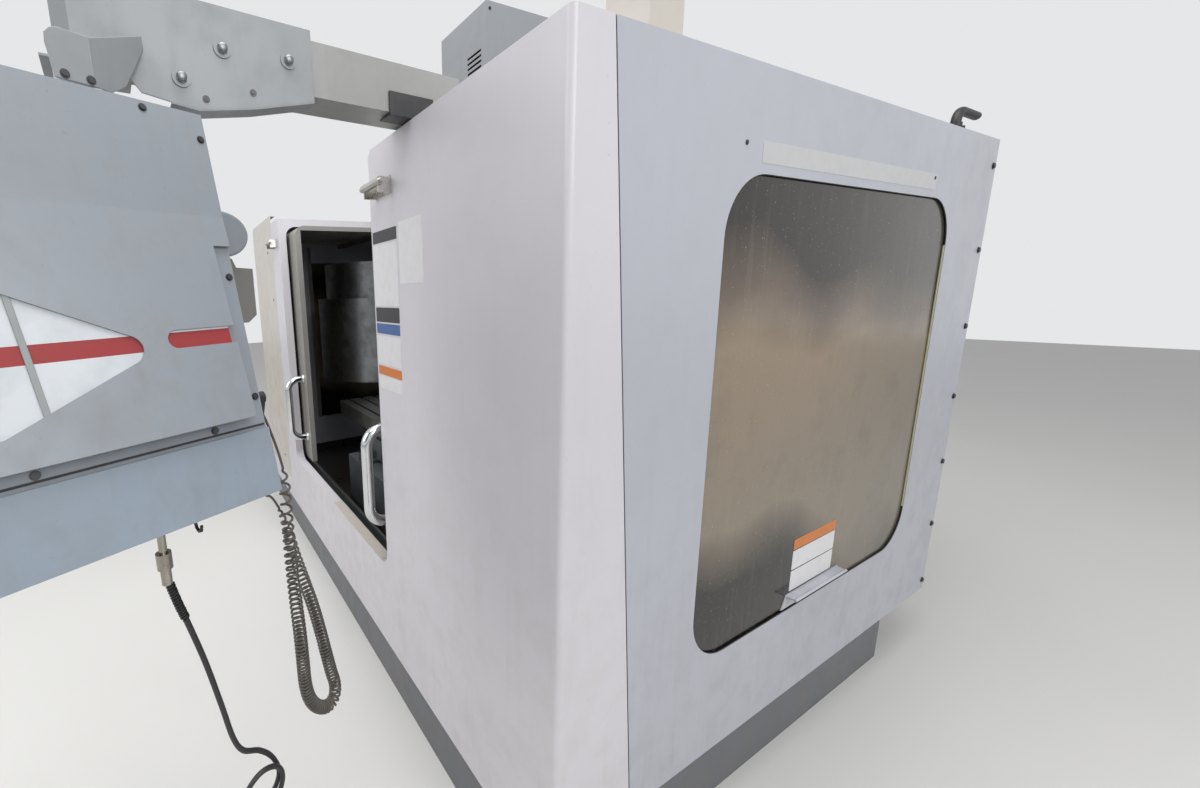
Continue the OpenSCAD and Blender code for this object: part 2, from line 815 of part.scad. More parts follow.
// Left door frame; the right one mirrors it
module door_frame() {
  x0 = door_edge - door_w;
  color("#8F8D88")
  difference() {
    union() {
      translate([x0, 0, 0]) rotate([90, 0, 90]) linear_extrude(door_w) difference() {
        door_outline(0, door_r);
        door_outline(sheet_t, door_r - sheet_t);
      }
      for (x = [x0, door_edge - sheet_t]) {
        translate([x, 0, 0]) rotate([90, 0, 90]) linear_extrude(sheet_t) difference() {
          door_outline(0, door_r);
          translate([door_y + door_t, door_z0 - 1])
            square([door_roof_end - door_y, door_top - door_band_h - door_z0 + 1]);
        }
      }
      blk([x0, door_y, door_z0], [door_edge, door_y + door_t, door_z0 + sheet_t]);
      blk([x0, door_roof_end - sheet_t, door_top - door_band_h], [door_edge, door_roof_end, door_top - 1]);
    }
    translate([door_pane_x0, door_y + 20, door_pane_z]) rotate([90, 0, 0])
      linear_extrude(40) rounded(door_pane_w, door_pane_h, 60);
  }
}

module door_pane() {
  m = 20;
  color("#6E6A60")
  translate([door_pane_x0 - m, door_y + sheet_t, door_pane_z - m])
    cube([door_pane_w + 2 * m, pane_t, door_pane_h + 2 * m]);
}

// Round tube bent to a handle, feet toward +Y
module door_handle() {
  r = handle_dia / 2;
  span = handle_h - handle_dia;
  color("#D8DADC")
  translate([handle_x, door_y, handle_z + r]) {
    for (s = [0, 1]) {
      translate([0, 0, s * span]) mirror([0, 0, s]) {
        rotate([90, 0, 0]) cylinder(r = r, h = handle_reach - handle_bend, $fn = 32);
        translate([0, -handle_reach + handle_bend, handle_bend]) rotate([90, 0, -90])
          rotate_extrude(angle = 90, start = 270) translate([handle_bend, 0]) circle(r, $fn = 32);
      }
    }
    translate([0, -handle_reach, handle_bend]) cylinder(r = r, h = span - 2 * handle_bend, $fn = 32);
  }
}

module door_left_frame() {
  door_frame();
}

module door_left_pane() {
  door_pane();
}

module door_left_handle() {
  door_handle();
}

module door_right_frame() {
  mirror([1, 0, 0]) door_frame();
}

module door_right_pane() {
  mirror([1, 0, 0]) door_pane();
}

module door_right_handle() {
  mirror([1, 0, 0]) door_handle();
}

module window_pane() {
  color("#6B655A")
  translate([pane_x, win_y - pane_w / 2, pane_z0]) cube([pane_t, pane_w, pane_h]);
}

module window_tab() {
  tab_y0 = -150;
  tab_y1 = 189;
  top_in = 22;
  top_z1 = win_z + 45;
  x = pane_x + pane_t;
  lip_w = 24;
  color("#9FA1A8") {
    sheet_side([
      [tab_y0, win_z + 4], [tab_y1, win_z + 4], [tab_y1 - top_in, top_z1], [tab_y0 + top_in, top_z1]
    ], x, 2.5);
    blk([x, tab_y0 + top_in, top_z1 - 6], [x + lip_w, tab_y1 - top_in, top_z1 - 3]);
    translate([x + lip_w, tab_y0 + top_in, top_z1 - 4.5]) rotate([-90, 0, 0])
      cylinder(r = 4, h = tab_y1 - tab_y0 - 2 * top_in);
  }
}

module window_right_pane() {
  window_pane();
}

module window_right_tab() {
  window_tab();
}

module window_left_pane() {
  mirror([1, 0, 0]) window_pane();
}

module window_left_tab() {
  mirror([1, 0, 0]) window_tab();
}

// Puts its children in the arm's frame: hinge at the origin, arm along -Y
module in_arm() {
  translate([hinge_x, hinge_y, arm_z]) rotate([0, 0, arm_yaw]) children();
}

module pendant_arm() {
  t = 4;
  color("#9A9B98")
  in_arm() {
    difference() {
      union() {
        difference() {
          blk([-arm_w / 2, -arm_l, 0], [arm_w / 2, arm_back, arm_h]);
          blk([-arm_w / 2 + t, -arm_l + t, t], [arm_w / 2 - t, arm_back - t, arm_h - t]);
        }
        cylinder(r = pin_r + 10, h = arm_h - 10);
      }
      translate([0, 0, -1]) cylinder(r = pin_r + run_gap, h = arm_h - 8);
    }
  }
}

module arm_end_plate() {
  x = arm_w / 2;
  t = 4;
  color("#8F9396")
  in_arm() {
    difference() {
      sheet_side([
        [-790, 0], [-770, 24], [-740, 12], [-690, -52], [-640, -60], [-590, -66], [-480, -46],
        [-345, -12], [-345, 132], [-790, 132]
      ], x, t);
      for (p = [[-536, 54], [-400, 60], [-618, -14]]) {
        translate([x - 1, p[0], p[1]]) rotate([0, 90, 0]) cylinder(r = 8, h = t + 2);
      }
    }
    difference() {
      union() {
        blk([-x, swivel_arm[1] - 45, -18], [x, -arm_l + 60, -14]);
        blk([-x, -arm_l - t, -18], [x, -arm_l - gap, 60]);
        translate([swivel_arm[0], swivel_arm[1], pend_z + 20 + gap - arm_z])
          cylinder(r = swivel_r + 14, h = arm_z - pend_z - 34 - gap);
      }
      translate([swivel_arm[0], swivel_arm[1], -100]) cylinder(r = swivel_r + run_gap, h = 100);
    }
    for (p = [[-536, 54], [-400, 60], [-618, -14]]) {
      translate([x + t, p[0], p[1]]) rotate([0, 90, 0]) cylinder(r = 17, h = 3);
      translate([x + t + 3, p[0], p[1]]) rotate([0, 90, 0]) cylinder(r = 10, h = 7, $fn = 6);
    }
  }
}

// Puts its children in the pendant's frame: X along its width, Y out of its rear, Z up
module in_pendant() {
  translate([swivel_x, swivel_y, pend_z]) rotate([0, 0, pend_yaw])
    translate([-pend_side, pend_back, 0]) children();
}

// Puts its children on the sloping rear face
module on_rear() {
  in_pendant() rotate([pend_lean, 0, 0]) children();
}

pend_t = 3;
// Pocket plate: thickness, place of its bend below the top edge, lean and length
plate_t = 4;
pocket_bend = 200;
pocket_lean = 4.5;
pocket_l = 386;
booklet_x = 42;
booklet_t = 5;
// Swivel axis in the arm's frame
swivel_arm = [
  (swivel_x - hinge_x) * cos(arm_yaw) + (swivel_y - hinge_y) * sin(arm_yaw),
  (swivel_y - hinge_y) * cos(arm_yaw) - (swivel_x - hinge_x) * sin(arm_yaw)
];
rear_l = pend_h / cos(pend_lean);
rear_run = pend_h * tan(pend_lean);

module pendant_side_outline(g) {
  polygon([
    [-pend_d + g, -pend_h + g], [rear_run - g * 1.2, -pend_h + g], [-g, -g], [-pend_d + g, -g]
  ]);
}

module pendant_housing() {
  color("#8A9097")
  in_pendant() {
    difference() {
      union() {
        rotate([90, 0, 90]) linear_extrude(pend_w) pendant_side_outline(0);
        translate([pend_side, -pend_back, -1]) cylinder(r = swivel_r + 18, h = 21);
        translate([pend_side, -pend_back, -1]) cylinder(r = swivel_r, h = arm_z - pend_z - 12);
      }
      translate([pend_t, 0, 0]) rotate([90, 0, 90]) linear_extrude(pend_w - 2 * pend_t)
        pendant_side_outline(pend_t);
      for (at = [start_at, hold_at, on_at, off_at, stop_at]) {
        translate([at[0], -pend_d - 1, at[1]]) rotate([-90, 0, 0])
          cylinder(r = button_r + gap, h = pend_t + 2);
      }
      translate([jog_at[0], -pend_d - 1, jog_at[1]]) rotate([-90, 0, 0])
        cylinder(r = jog_pin_r + run_gap, h = pend_t + 2);
    }
  }
}

// Puts its children on the pocket plate, which leans out below its bend line
module in_pocket() {
  on_rear() translate([0, plate_t, -pocket_bend]) rotate([pocket_lean, 0, 0]) children();
}

// Outer plate of the pendant's rear: flat above, leaning out below as a pocket for the booklet
module pendant_back_plate() {
  edge = 33;
  notch = 58;
  slot_z = -228;
  color("#8C939B") {
    on_rear() blk([0, 0, -pocket_bend], [pend_w, plate_t, -2]);
    in_pocket() {
      translate([0, 0, 0.5]) rotate([90, 0, 0]) linear_extrude(plate_t) difference() {
        polygon([
          [0, 0], [0, -notch], [edge, -notch], [edge, -pocket_l], [pend_w - edge, -pocket_l],
          [pend_w - edge, -notch], [pend_w, -notch], [pend_w, 0]
        ]);
        hull() {
          translate([218, -238]) circle(24);
          translate([390, -140]) circle(14);
          translate([390, -327]) circle(14);
        }
        hull() {
          translate([138, slot_z]) circle(16);
          translate([0, slot_z]) circle(16);
        }
      }
      blk([edge + 20, -plate_t - 29, -pocket_l], [pend_w - edge - 20, -1, -pocket_l + 3]);
    }
  }
}

module pendant_lower_cover() {
  color("#8B97A3")
  on_rear() {
    blk([0, 0, -rear_l + 2], [pend_w, 10, -612]);
  }
}

module booklet() {
  color("#D9D6D0")
  in_pocket() {
    blk([booklet_x, -plate_t - gap - booklet_t, -pocket_l + 3 + gap], [booklet_x + 360, -plate_t - gap, -96]);
  }
}

module pendant_screen() {
  color("#20242A")
  in_pendant() {
    blk([70, -pend_d - 6, -330], [390, -pend_d, -70]);
  }
}

module pendant_keys() {
  color("#C9C9C4")
  in_pendant() {
    blk([20, -pend_d - 3, -700], [440, -pend_d, -480]);
    for (i = [0 : 9]) {
      for (j = [0 : 4]) {
        translate([40 + i * 38, -pend_d - 6, -690 + j * 40]) cube([30, 3.5, 30]);
      }
    }
  }
}

// Front controls: place on the front face as [x, z], and radius of the part in the wall
start_at = [50, -420];
hold_at = [100, -420];
on_at = [40, -120];
off_at = [40, -170];
stop_at = [425, -120];
jog_at = [380, -410];
button_r = 13;
jog_pin_r = 8;
button_show = 12;
button_in = 10;

// Puts its children on the front face, Z pointing out of it
module on_front(at) {
  in_pendant() translate([at[0], -pend_d, at[1]]) rotate([90, 0, 0]) children();
}

module push_button(at, c) {
  color(c) on_front(at) translate([0, 0, -button_in]) cylinder(r = button_r, h = button_in + button_show);
}

module cycle_start() {
  push_button(start_at, "#2E8B45");
}

module feed_hold() {
  push_button(hold_at, "#C8A02C");
}

module power_on() {
  push_button(on_at, "#2E8B45");
}

module power_off() {
  push_button(off_at, "#B02A24");
}

module emergency_stop() {
  color("#B3201C")
  on_front(stop_at) {
    translate([0, 0, -button_in]) cylinder(r = button_r, h = button_in + 18);
    translate([0, 0, 16]) cylinder(r = 20, h = 14);
  }
}

module jog_wheel() {
  color("#2A2B2D")
  on_front(jog_at) {
    translate([0, 0, gap]) cylinder(r = 38, h = 16);
    translate([0, 0, -button_in]) cylinder(r = jog_pin_r, h = button_in + 1);
    translate([24, 0, 14]) cylinder(r = 8, h = 20);
  }
}

module cord_gland() {
  color("#1D1D1F")
  in_pendant() {
    translate([-22, lead_route[0][1], lead_route[0][2] + 14]) rotate([0, 90, 0]) cylinder(r = 12, h = 22);
    translate(lead_route[0]) cylinder(r = 10, h = 14);
  }
}

function unit(v) = v / norm(v);
function tangent(p, i) = unit(p[min(i + 1, len(p) - 1)] - p[max(i - 1, 0)]);
function side_of(d) = unit(cross(d, abs(d[2]) > 0.9 ? [0, 1, 0] : [0, 0, 1]));
function ring(c, d, r, n) = [
  for (k = [0 : n - 1]) c + r * (cos(k * 360 / n) * side_of(d) + sin(k * 360 / n) * cross(d, side_of(d)))
];

// Round tube along a list of points
module tube(p, r, n) {
  pts = [for (i = [0 : len(p) - 1]) for (q = ring(p[i], tangent(p, i), r, n)) q];
  last = (len(p) - 1) * n;
  polyhedron(points = pts, faces = concat(
    [[for (k = [0 : n - 1]) k]],
    [[for (k = [0 : n - 1]) last + n - 1 - k]],
    [for (i = [0 : len(p) - 2]) for (k = [0 : n - 1])
      [i * n + k, (i + 1) * n + k, (i + 1) * n + (k + 1) % n, i * n + (k + 1) % n]]
  ));
}

module cord_lead() {
  color("#232325")
  in_pendant() tube(lead_route, 4.5, 8);
}

module coil_cord() {
  color("#3A3836")
  in_pendant() tube(coil_route, coil_dia / 2, 10);
}

module air_coupler() {
  color("#8E8A80")
  in_pendant() translate([203, 101, coupler_z]) {
    cylinder(r = 9, h = 30);
    translate([0, 0, 30]) cylinder(r = 13, h = 30);
    translate([0, 0, 60]) cylinder(r = 7, h = coupler_top - pend_h);
  }
}

module air_hose() {
  color("#1E1E20")
  in_pendant() tube(hose_route, hose_dia / 2, 8);
}

base_casting();
base_skirt();
levelling_feet();
chip_pan();
column();
guide_rails();
front_panel();
sill_cap();
left_end_plate();
side_panel_right();
side_panel_left();
roof_right();
roof_left();
rear_panels();
window_guides();
door_tracks();
door_catches();
changer_rail();
control_cabinet();
roof_box();
cable_gland();
arm_post();
saddle();
table();
head_casting();
head_cover();
spindle_shaft();
changer_carriage();
carousel_cover();
carousel_disc();
door_left_frame();
door_left_pane();
door_left_handle();
door_right_frame();
door_right_pane();
door_right_handle();
window_right_pane();
window_right_tab();
window_left_pane();
window_left_tab();
pendant_arm();
arm_end_plate();
pendant_housing();
pendant_back_plate();
pendant_lower_cover();
booklet();
pendant_screen();
pendant_keys();
cord_gland();
cord_lead();
coil_cord();
air_coupler();
air_hose();
cycle_start();
feed_hold();
power_on();
power_off();
emergency_stop();
jog_wheel();
cabinet_door();
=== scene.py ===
"""Vertical machining center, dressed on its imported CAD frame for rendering."""

import json
import logging
import math
from dataclasses import dataclass
from enum import Enum
from functools import cache
from typing import Sequence, Union

import bmesh
import bpy
from mathutils import Matrix, Vector


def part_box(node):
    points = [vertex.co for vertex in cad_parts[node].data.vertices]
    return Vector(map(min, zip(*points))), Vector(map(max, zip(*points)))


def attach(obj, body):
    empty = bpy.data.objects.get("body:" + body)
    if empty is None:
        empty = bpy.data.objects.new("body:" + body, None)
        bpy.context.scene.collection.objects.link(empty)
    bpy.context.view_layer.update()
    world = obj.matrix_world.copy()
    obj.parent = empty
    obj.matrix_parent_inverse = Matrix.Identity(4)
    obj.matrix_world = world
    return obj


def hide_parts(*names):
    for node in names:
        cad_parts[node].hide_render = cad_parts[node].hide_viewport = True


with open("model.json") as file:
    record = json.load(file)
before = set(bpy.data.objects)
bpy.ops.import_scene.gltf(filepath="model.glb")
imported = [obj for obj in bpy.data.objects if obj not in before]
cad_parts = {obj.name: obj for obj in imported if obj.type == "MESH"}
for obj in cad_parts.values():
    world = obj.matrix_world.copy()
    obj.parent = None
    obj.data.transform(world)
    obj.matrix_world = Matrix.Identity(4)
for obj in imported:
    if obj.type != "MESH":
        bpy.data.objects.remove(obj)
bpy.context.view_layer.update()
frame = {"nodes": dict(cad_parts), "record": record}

log = logging.getLogger("machining_center")
MM = 0.001
Point = Sequence[float]
Span = tuple[float, float]
Rect = tuple[float, float, float, float]
Tree = bpy.types.NodeTree
Source = Union[bpy.types.NodeSocket, bpy.types.Node]


class Body(str, Enum):
    """Bodies of the frame that pieces ride on."""

    MACHINE = "machine"
    HEAD = "head"
    ARM = "arm"
    PENDANT = "pendant"
    DOOR_LEFT = "door_left"
    DOOR_RIGHT = "door_right"
    WINDOW_LEFT = "window_left"
    WINDOW_RIGHT = "window_right"
    CABINET_DOOR = "cabinet_door"


class Side(Enum):
    """Sides of the machine, each with the sign of its X."""

    RIGHT = 1
    LEFT = -1

    @property
    def word(self) -> str:
        """Give the side's word for the names of pieces."""
        return self.name.lower()


class Grain(Enum):
    """Direction of the marks that a tool leaves on metal, as the pattern's scale along each axis."""

    ALONG_X = (0.02, 1.0, 1.0)
    ALONG_Y = (1.0, 0.02, 1.0)
    ALONG_Z = (1.0, 1.0, 0.02)
    NONE = (1.0, 1.0, 1.0)


class Across(Enum):
    """Axis that a sheet stands across, as the turn that sets a flat outline up that way."""

    X = ((0, 0, 1), (1, 0, 0), (0, 1, 0))
    Y = ((1, 0, 0), (0, 0, -1), (0, 1, 0))
    Z = ((1, 0, 0), (0, 1, 0), (0, 0, 1))


def linear(code: str) -> tuple[float, float, float, float]:
    """Turn an sRGB hex colour to linear values.

    Args:
        code: Colour such as "#A0B1C2".

    Returns:
        Linear red, green, blue and alpha.
    """
    out = []
    for i in (1, 3, 5):
        c = int(code[i:i + 2], 16) / 255
        out.append(c / 12.92 if c <= 0.04045 else ((c + 0.055) / 1.055) ** 2.4)
    return (out[0], out[1], out[2], 1.0)


def add(tree: Tree, kind: str, inputs: dict | Sequence = (), **settings: object) -> bpy.types.Node:
    """Add one node with its settings, values and links.

    Args:
        tree: Node tree that gets the node.
        kind: Blender's name of the node type.
        inputs: Value, socket or node of each input, in order or by its name or number.
        **settings: Attributes of the node.

    Returns:
        The new node.
    """
    node = tree.nodes.new(kind)
    for key, value in settings.items():
        setattr(node, key, value)
    for key, value in (inputs if isinstance(inputs, dict) else dict(enumerate(inputs))).items():
        if isinstance(value, bpy.types.Node):
            value = value.outputs[0]
        if isinstance(value, bpy.types.NodeSocket):
            tree.links.new(value, node.inputs[key])
        else:
            node.inputs[key].default_value = value
    return node


def patches(tree: Tree, where: Source, size_mm: float, detail: float, rough: float = 0.55,
            cut: Span = (0.45, 0.8), result: Span = (0.0, 1.0)) -> bpy.types.Node:
    """Add a mask of cloudy patches with a real width.

    Args:
        tree: Node tree.
        where: Coordinates in metres.
        size_mm: Width of one patch in millimetres.
        detail: Octaves.
        rough: Weight of the finer octaves.
        cut: Values of the cloud where the mask starts and where it is full.
        result: The mask's values there.

    Returns:
        The node that gives the mask.
    """
    cloud = add(tree, "ShaderNodeTexNoise", {
        "Vector": where, "Scale": 1 / (size_mm * MM), "Detail": detail, "Roughness": rough})
    return add(tree, "ShaderNodeMapRange", (cloud, *cut, *result))


def relief(tree: Tree, where: Source, size_mm: float, detail: float, strength: float, depth_mm: float,
           rough: float = 0.55) -> bpy.types.Node:
    """Add fine bumps with a real width.

    Args:
        tree: Node tree.
        where: Coordinates in metres.
        size_mm: Width of one bump in millimetres.
        detail: Octaves.
        strength: How much of the bumps shows.
        depth_mm: Height of the bumps in millimetres.
        rough: Weight of the finer octaves.

    Returns:
        The node that gives the bent normal.
    """
    skin = add(tree, "ShaderNodeTexNoise", {
        "Vector": where, "Scale": 1 / (size_mm * MM), "Detail": detail, "Roughness": rough})
    return add(tree, "ShaderNodeBump", {"Height": skin, "Strength": strength, "Distance": depth_mm * MM})


def coats(tree: Tree, base: str | Source, *layers: tuple[Source, str]) -> bpy.types.NodeSocket:
    """Lay colours over a base, each where its mask is full.

    Args:
        tree: Node tree.
        base: Hex colour, or a socket that gives a colour.
        *layers: Mask and hex colour of each coat, the lowest first.

    Returns:
        The colour that they make.
    """
    colour = linear(base) if isinstance(base, str) else base
    for mask, code in layers:
        mixed = add(tree, "ShaderNodeMix", {0: mask, 6: colour, 7: linear(code)}, data_type="RGBA")
        colour = mixed.outputs[2]
    return colour


@dataclass(frozen=True)
class Finish:
    """Base of the finishes: a name, and a surface that each kind makes in its own way."""

    name: str

    def surface(self, tree: Tree, where: Source) -> dict[str, object]:
        """Make the surface's nodes.

        Args:
            tree: Node tree that gets them.
            where: Object coordinates in metres.

        Returns:
            Value, socket or node of each of the shader's inputs that the finish sets.
        """
        raise NotImplementedError

    def build(self) -> bpy.types.Material:
        """Build the material.

        Returns:
            The material, on Object coordinates.
        """
        made = bpy.data.materials.new(self.name)
        made.use_nodes = True
        tree = made.node_tree
        tree.nodes.clear()
        where = add(tree, "ShaderNodeTexCoord").outputs["Object"]
        shader = add(tree, "ShaderNodeBsdfPrincipled", self.surface(tree, where))
        add(tree, "ShaderNodeOutputMaterial", {"Surface": shader})
        return made


@dataclass(frozen=True)
class StovedPaint(Finish):
    """Stoved polyester paint on folded sheet steel: semi-gloss, faint orange peel, shop dust low down."""

    colour: str
    shade: str
    roughness: float = 0.34
    grime: float = 0.35
    grime_colour: str = "#6E6658"
    grime_z: Span = (0.0, 1.4)
    specks: float = 0.12
    cloud_mm: float = 700
    smear_mm: float = 90
    run_mm: float = 26
    speck_mm: float = 7
    peel_mm: float = 2.6

    def surface(self, tree: Tree, where: Source) -> dict[str, object]:
        """Make clouds of shade, smears and runs of dust that fade with height, dark specks and orange peel.

        Args:
            tree: Node tree that gets them.
            where: Object coordinates in metres.

        Returns:
            The shader's inputs.
        """
        clouds = patches(tree, where, self.cloud_mm, 2, cut=(0.3, 0.7), result=(0.0, 0.7))
        smears = patches(tree, where, self.smear_mm, 6, 0.62)
        hanging = add(tree, "ShaderNodeMapping", {"Vector": where, "Scale": (1.0, 1.0, 0.06)})
        runs = patches(tree, hanging, self.run_mm, 4, cut=(0.5, 0.85), result=(0.0, 0.7))
        height = add(tree, "ShaderNodeSeparateXYZ", (where,)).outputs["Z"]
        low = add(tree, "ShaderNodeMapRange", (height, *self.grime_z, 1.0, 0.25))
        dust = add(tree, "ShaderNodeMath", (smears, runs), operation="ADD")
        dust = add(tree, "ShaderNodeMath", (dust, low), operation="MULTIPLY")
        dust = add(tree, "ShaderNodeMath", (dust, self.grime), operation="MULTIPLY")
        dots = patches(tree, where, self.speck_mm, 2, 0.4, (0.72, 0.78), (0.0, self.specks))
        smeared = add(tree, "ShaderNodeMapRange", (smears, 0.0, 1.0, 0.0, 0.14))
        dusty = add(tree, "ShaderNodeMapRange", (dust, 0.0, 0.6, self.roughness, self.roughness + 0.25))
        return {
            "Base Color": coats(tree, self.colour, (clouds, self.shade), (dust, self.grime_colour),
                                (dots, "#3B3630")),
            "Roughness": add(tree, "ShaderNodeMath", (smeared, dusty), operation="ADD"),
            "Normal": relief(tree, where, self.peel_mm, 2, 0.12, 0.6),
            "IOR": 1.5, "Coat Weight": 0.12, "Coat Roughness": 0.18}


@dataclass(frozen=True)
class CastIronPaint(Finish):
    """Machine enamel on grey iron castings: thick, slightly wavy, with an oily darker film."""

    colour: str
    oil: str
    roughness: float = 0.42
    oily: float = 0.6
    film_mm: float = 160
    wave_mm: float = 9

    @property
    def wet(self) -> float:
        """Give the roughness where the film is full."""
        return self.roughness - 0.2

    def surface(self, tree: Tree, where: Source) -> dict[str, object]:
        """Make the enamel's waves and the film of oil, glossier where it lies.

        Args:
            tree: Node tree that gets them.
            where: Object coordinates in metres.

        Returns:
            The shader's inputs.
        """
        film = patches(tree, where, self.film_mm, 6, 0.6, (0.42, 0.75), (0.0, self.oily))
        return {
            "Base Color": coats(tree, self.colour, (film, self.oil)),
            "Roughness": add(tree, "ShaderNodeMapRange", (film, 0.0, 1.0, self.roughness, self.wet)),
            "Normal": relief(tree, where, self.wave_mm, 5, 0.35, 1.2, 0.6),
            "IOR": 1.5}


@dataclass(frozen=True)
class WorkedMetal(Finish):
    """Bare worked metal: ground, turned or plated, with the marks of its tool, duller where it tarnished.

    Ground marks are finer than the render shows, so they are drawn about a millimetre wide.
    """

    colour: str
    dull: str
    roughness: float
    grain: Grain = Grain.NONE
    grain_mm: float = 1.5
    bump: float = 0.1
    tarnish: float = 0.3
    tarnish_mm: float = 60

    def surface(self, tree: Tree, where: Source) -> dict[str, object]:
        """Make the tool's marks and the dull film.

        Args:
            tree: Node tree that gets them.
            where: Object coordinates in metres.

        Returns:
            The shader's inputs.
        """
        along = add(tree, "ShaderNodeMapping", {"Vector": where, "Scale": self.grain.value})
        marks = patches(tree, along, self.grain_mm, 3, cut=(0.3, 0.7),
                        result=(self.roughness * 0.8, self.roughness * 1.2))
        film = patches(tree, where, self.tarnish_mm, 5, 0.6, (0.42, 0.75), (0.0, self.tarnish))
        dulled = add(tree, "ShaderNodeMapRange", (film, 0.0, 1.0, 0.0, 0.3))
        return {
            "Base Color": coats(tree, self.colour, (film, self.dull)),
            "Roughness": add(tree, "ShaderNodeMath", (marks, dulled), operation="ADD"),
            "Normal": relief(tree, along, self.grain_mm, 3, self.bump, 0.3),
            "Metallic": 1.0}


@dataclass(frozen=True)
class FilmedPolycarbonate(Finish):
    """Clear polycarbonate pane that coolant mist has filmed brown: glossy outside, blotchy, nearly blind.

    The bands follow the height. They are painted light and shade of the inside seen through the pane, under
    the brown film: painted shade at the top and at the foot, and a painted lit band between. The z span of
    film and shade holds the heights of their foot and of their upper edge. The lowest band, painted shade of
    the inside, rises toward the front, by foot metres at most, between the two values of foot_y.
    """

    # dark and low are painted shade of the inside at the top and at the foot; tan is a painted lit band
    # between.
    dark: str = "#2C2520"
    tan: str = "#9A8A77"
    low: str = "#1C1917"
    film_and_shade_z: Span = (0.52, 1.7)
    foot: float = 0.3
    foot_y: Span = (-0.57, 0.2)
    foot_z: Span = (0.5, 1.05)
    rear_y: Span = (-0.1, 0.62)
    see_through: float = 0.12
    warp_mm: float = 620
    run_mm: float = 16
    blot_mm: float = 120
    speck_mm: float = 5
    ripple_mm: float = 180

    def surface(self, tree: Tree, where: Source) -> dict[str, object]:
        """Make the bands of brown film with painted shade and a painted lit band, the film's runs, blots and
        pale specks, and the pane's slight ripple.

        Args:
            tree: Node tree that gets them.
            where: Object coordinates in metres.

        Returns:
            The shader's inputs.
        """
        _, y, z = add(tree, "ShaderNodeSeparateXYZ", (where,)).outputs
        warp = patches(tree, where, self.warp_mm, 2, 0.5, (0.3, 0.7), (-0.1, 0.1))
        # The lowest band is painted shade of the inside and rises toward the front.
        rise = add(tree, "ShaderNodeMapRange", (y, *self.foot_y, -self.foot, 0.06))
        lower = add(tree, "ShaderNodeMapRange", (z, *self.foot_z, 1.0, 0.0))
        rise = add(tree, "ShaderNodeMath", (rise, lower), operation="MULTIPLY")
        height = add(tree, "ShaderNodeMath", (z, warp), operation="ADD")
        height = add(tree, "ShaderNodeMath", (height, rise), operation="ADD")
        share = add(tree, "ShaderNodeMapRange", (height, *self.film_and_shade_z, 0.0, 1.0))
        # Bands of painted light and shade of the inside: painted shade at the foot and at the top, and a
        # painted lit tan band between.
        bands = add(tree, "ShaderNodeValToRGB", (share,))
        stops = bands.color_ramp.elements
        stops[0].color = linear(self.low)
        stops[1].color = linear(self.dark)
        for place, code in ((0.05, self.low), (0.2, "#8A7F6F"), (0.42, "#8F8272"), (0.62, self.tan),
                            (0.72, "#6A5C50"), (0.84, self.dark)):
            stops.new(place).color = linear(code)
        rear = add(tree, "ShaderNodeMapRange", (y, *self.rear_y, 0.0, 0.35))
        hanging = add(tree, "ShaderNodeMapping", {"Vector": where, "Scale": (1.0, 1.0, 0.05)})
        runs = patches(tree, hanging, self.run_mm, 5, cut=(0.55, 0.85), result=(0.0, 0.12))
        blots = patches(tree, where, self.blot_mm, 5, 0.6, (0.5, 0.85), (0.0, 0.2))
        specks = patches(tree, where, self.speck_mm, 2, 0.4, (0.70, 0.76), (0.0, 0.5))
        ripple = 0.05 / (self.film_and_shade_z[1] - self.film_and_shade_z[0])
        return {
            "Base Color": coats(tree, bands.outputs["Color"], (rear, "#6B6A5F"), (runs, "#B0A795"),
                                (blots, "#2E2A26"), (specks, "#C7BFAE")),
            "Roughness": add(tree, "ShaderNodeMapRange", (blots, 0.0, 0.35, 0.16, 0.34)),
            "Normal": relief(tree, where, self.ripple_mm, 1, ripple, 2),
            "IOR": 1.58, "Transmission Weight": self.see_through, "Specular IOR Level": 0.28}


@dataclass(frozen=True)
class MouldedPlastic(Finish):
    """Moulded plastic, rubber or film: fine spark-eroded skin, handling marks, soft sheen."""

    colour: str
    worn: str
    roughness: float = 0.45
    bump: float = 0.15
    marks: float = 0.3
    rub_mm: float = 28
    skin_mm: float = 1.2

    def surface(self, tree: Tree, where: Source) -> dict[str, object]:
        """Make the skin and the rubbed places, duller than the rest.

        Args:
            tree: Node tree that gets them.
            where: Object coordinates in metres.

        Returns:
            The shader's inputs.
        """
        rubbed = patches(tree, where, self.rub_mm, 5, 0.6, result=(0.0, self.marks))
        duller = self.roughness + 0.2
        return {
            "Base Color": coats(tree, self.colour, (rubbed, self.worn)),
            "Roughness": add(tree, "ShaderNodeMapRange", (rubbed, 0.0, 1.0, self.roughness, duller)),
            "Normal": relief(tree, where, self.skin_mm, 2, self.bump, 0.4),
            "IOR": 1.49}


@dataclass(frozen=True)
class DarkScreen(Finish):
    """Unlit display behind hard-coated glass: near black, glossy, with finger grease."""

    colour: str
    greasy: str
    grease_mm: float = 45

    def surface(self, tree: Tree, where: Source) -> dict[str, object]:
        """Make the grease, paler and duller than the clean glass.

        Args:
            tree: Node tree that gets it.
            where: Object coordinates in metres.

        Returns:
            The shader's inputs.
        """
        grease = patches(tree, where, self.grease_mm, 5, 0.6, (0.5, 0.8))
        return {
            "Base Color": coats(tree, self.colour, (grease, self.greasy)),
            "Roughness": add(tree, "ShaderNodeMapRange", (grease, 0.0, 1.0, 0.06, 0.22)),
            "IOR": 1.52, "Coat Weight": 0.5, "Coat Roughness": 0.04}


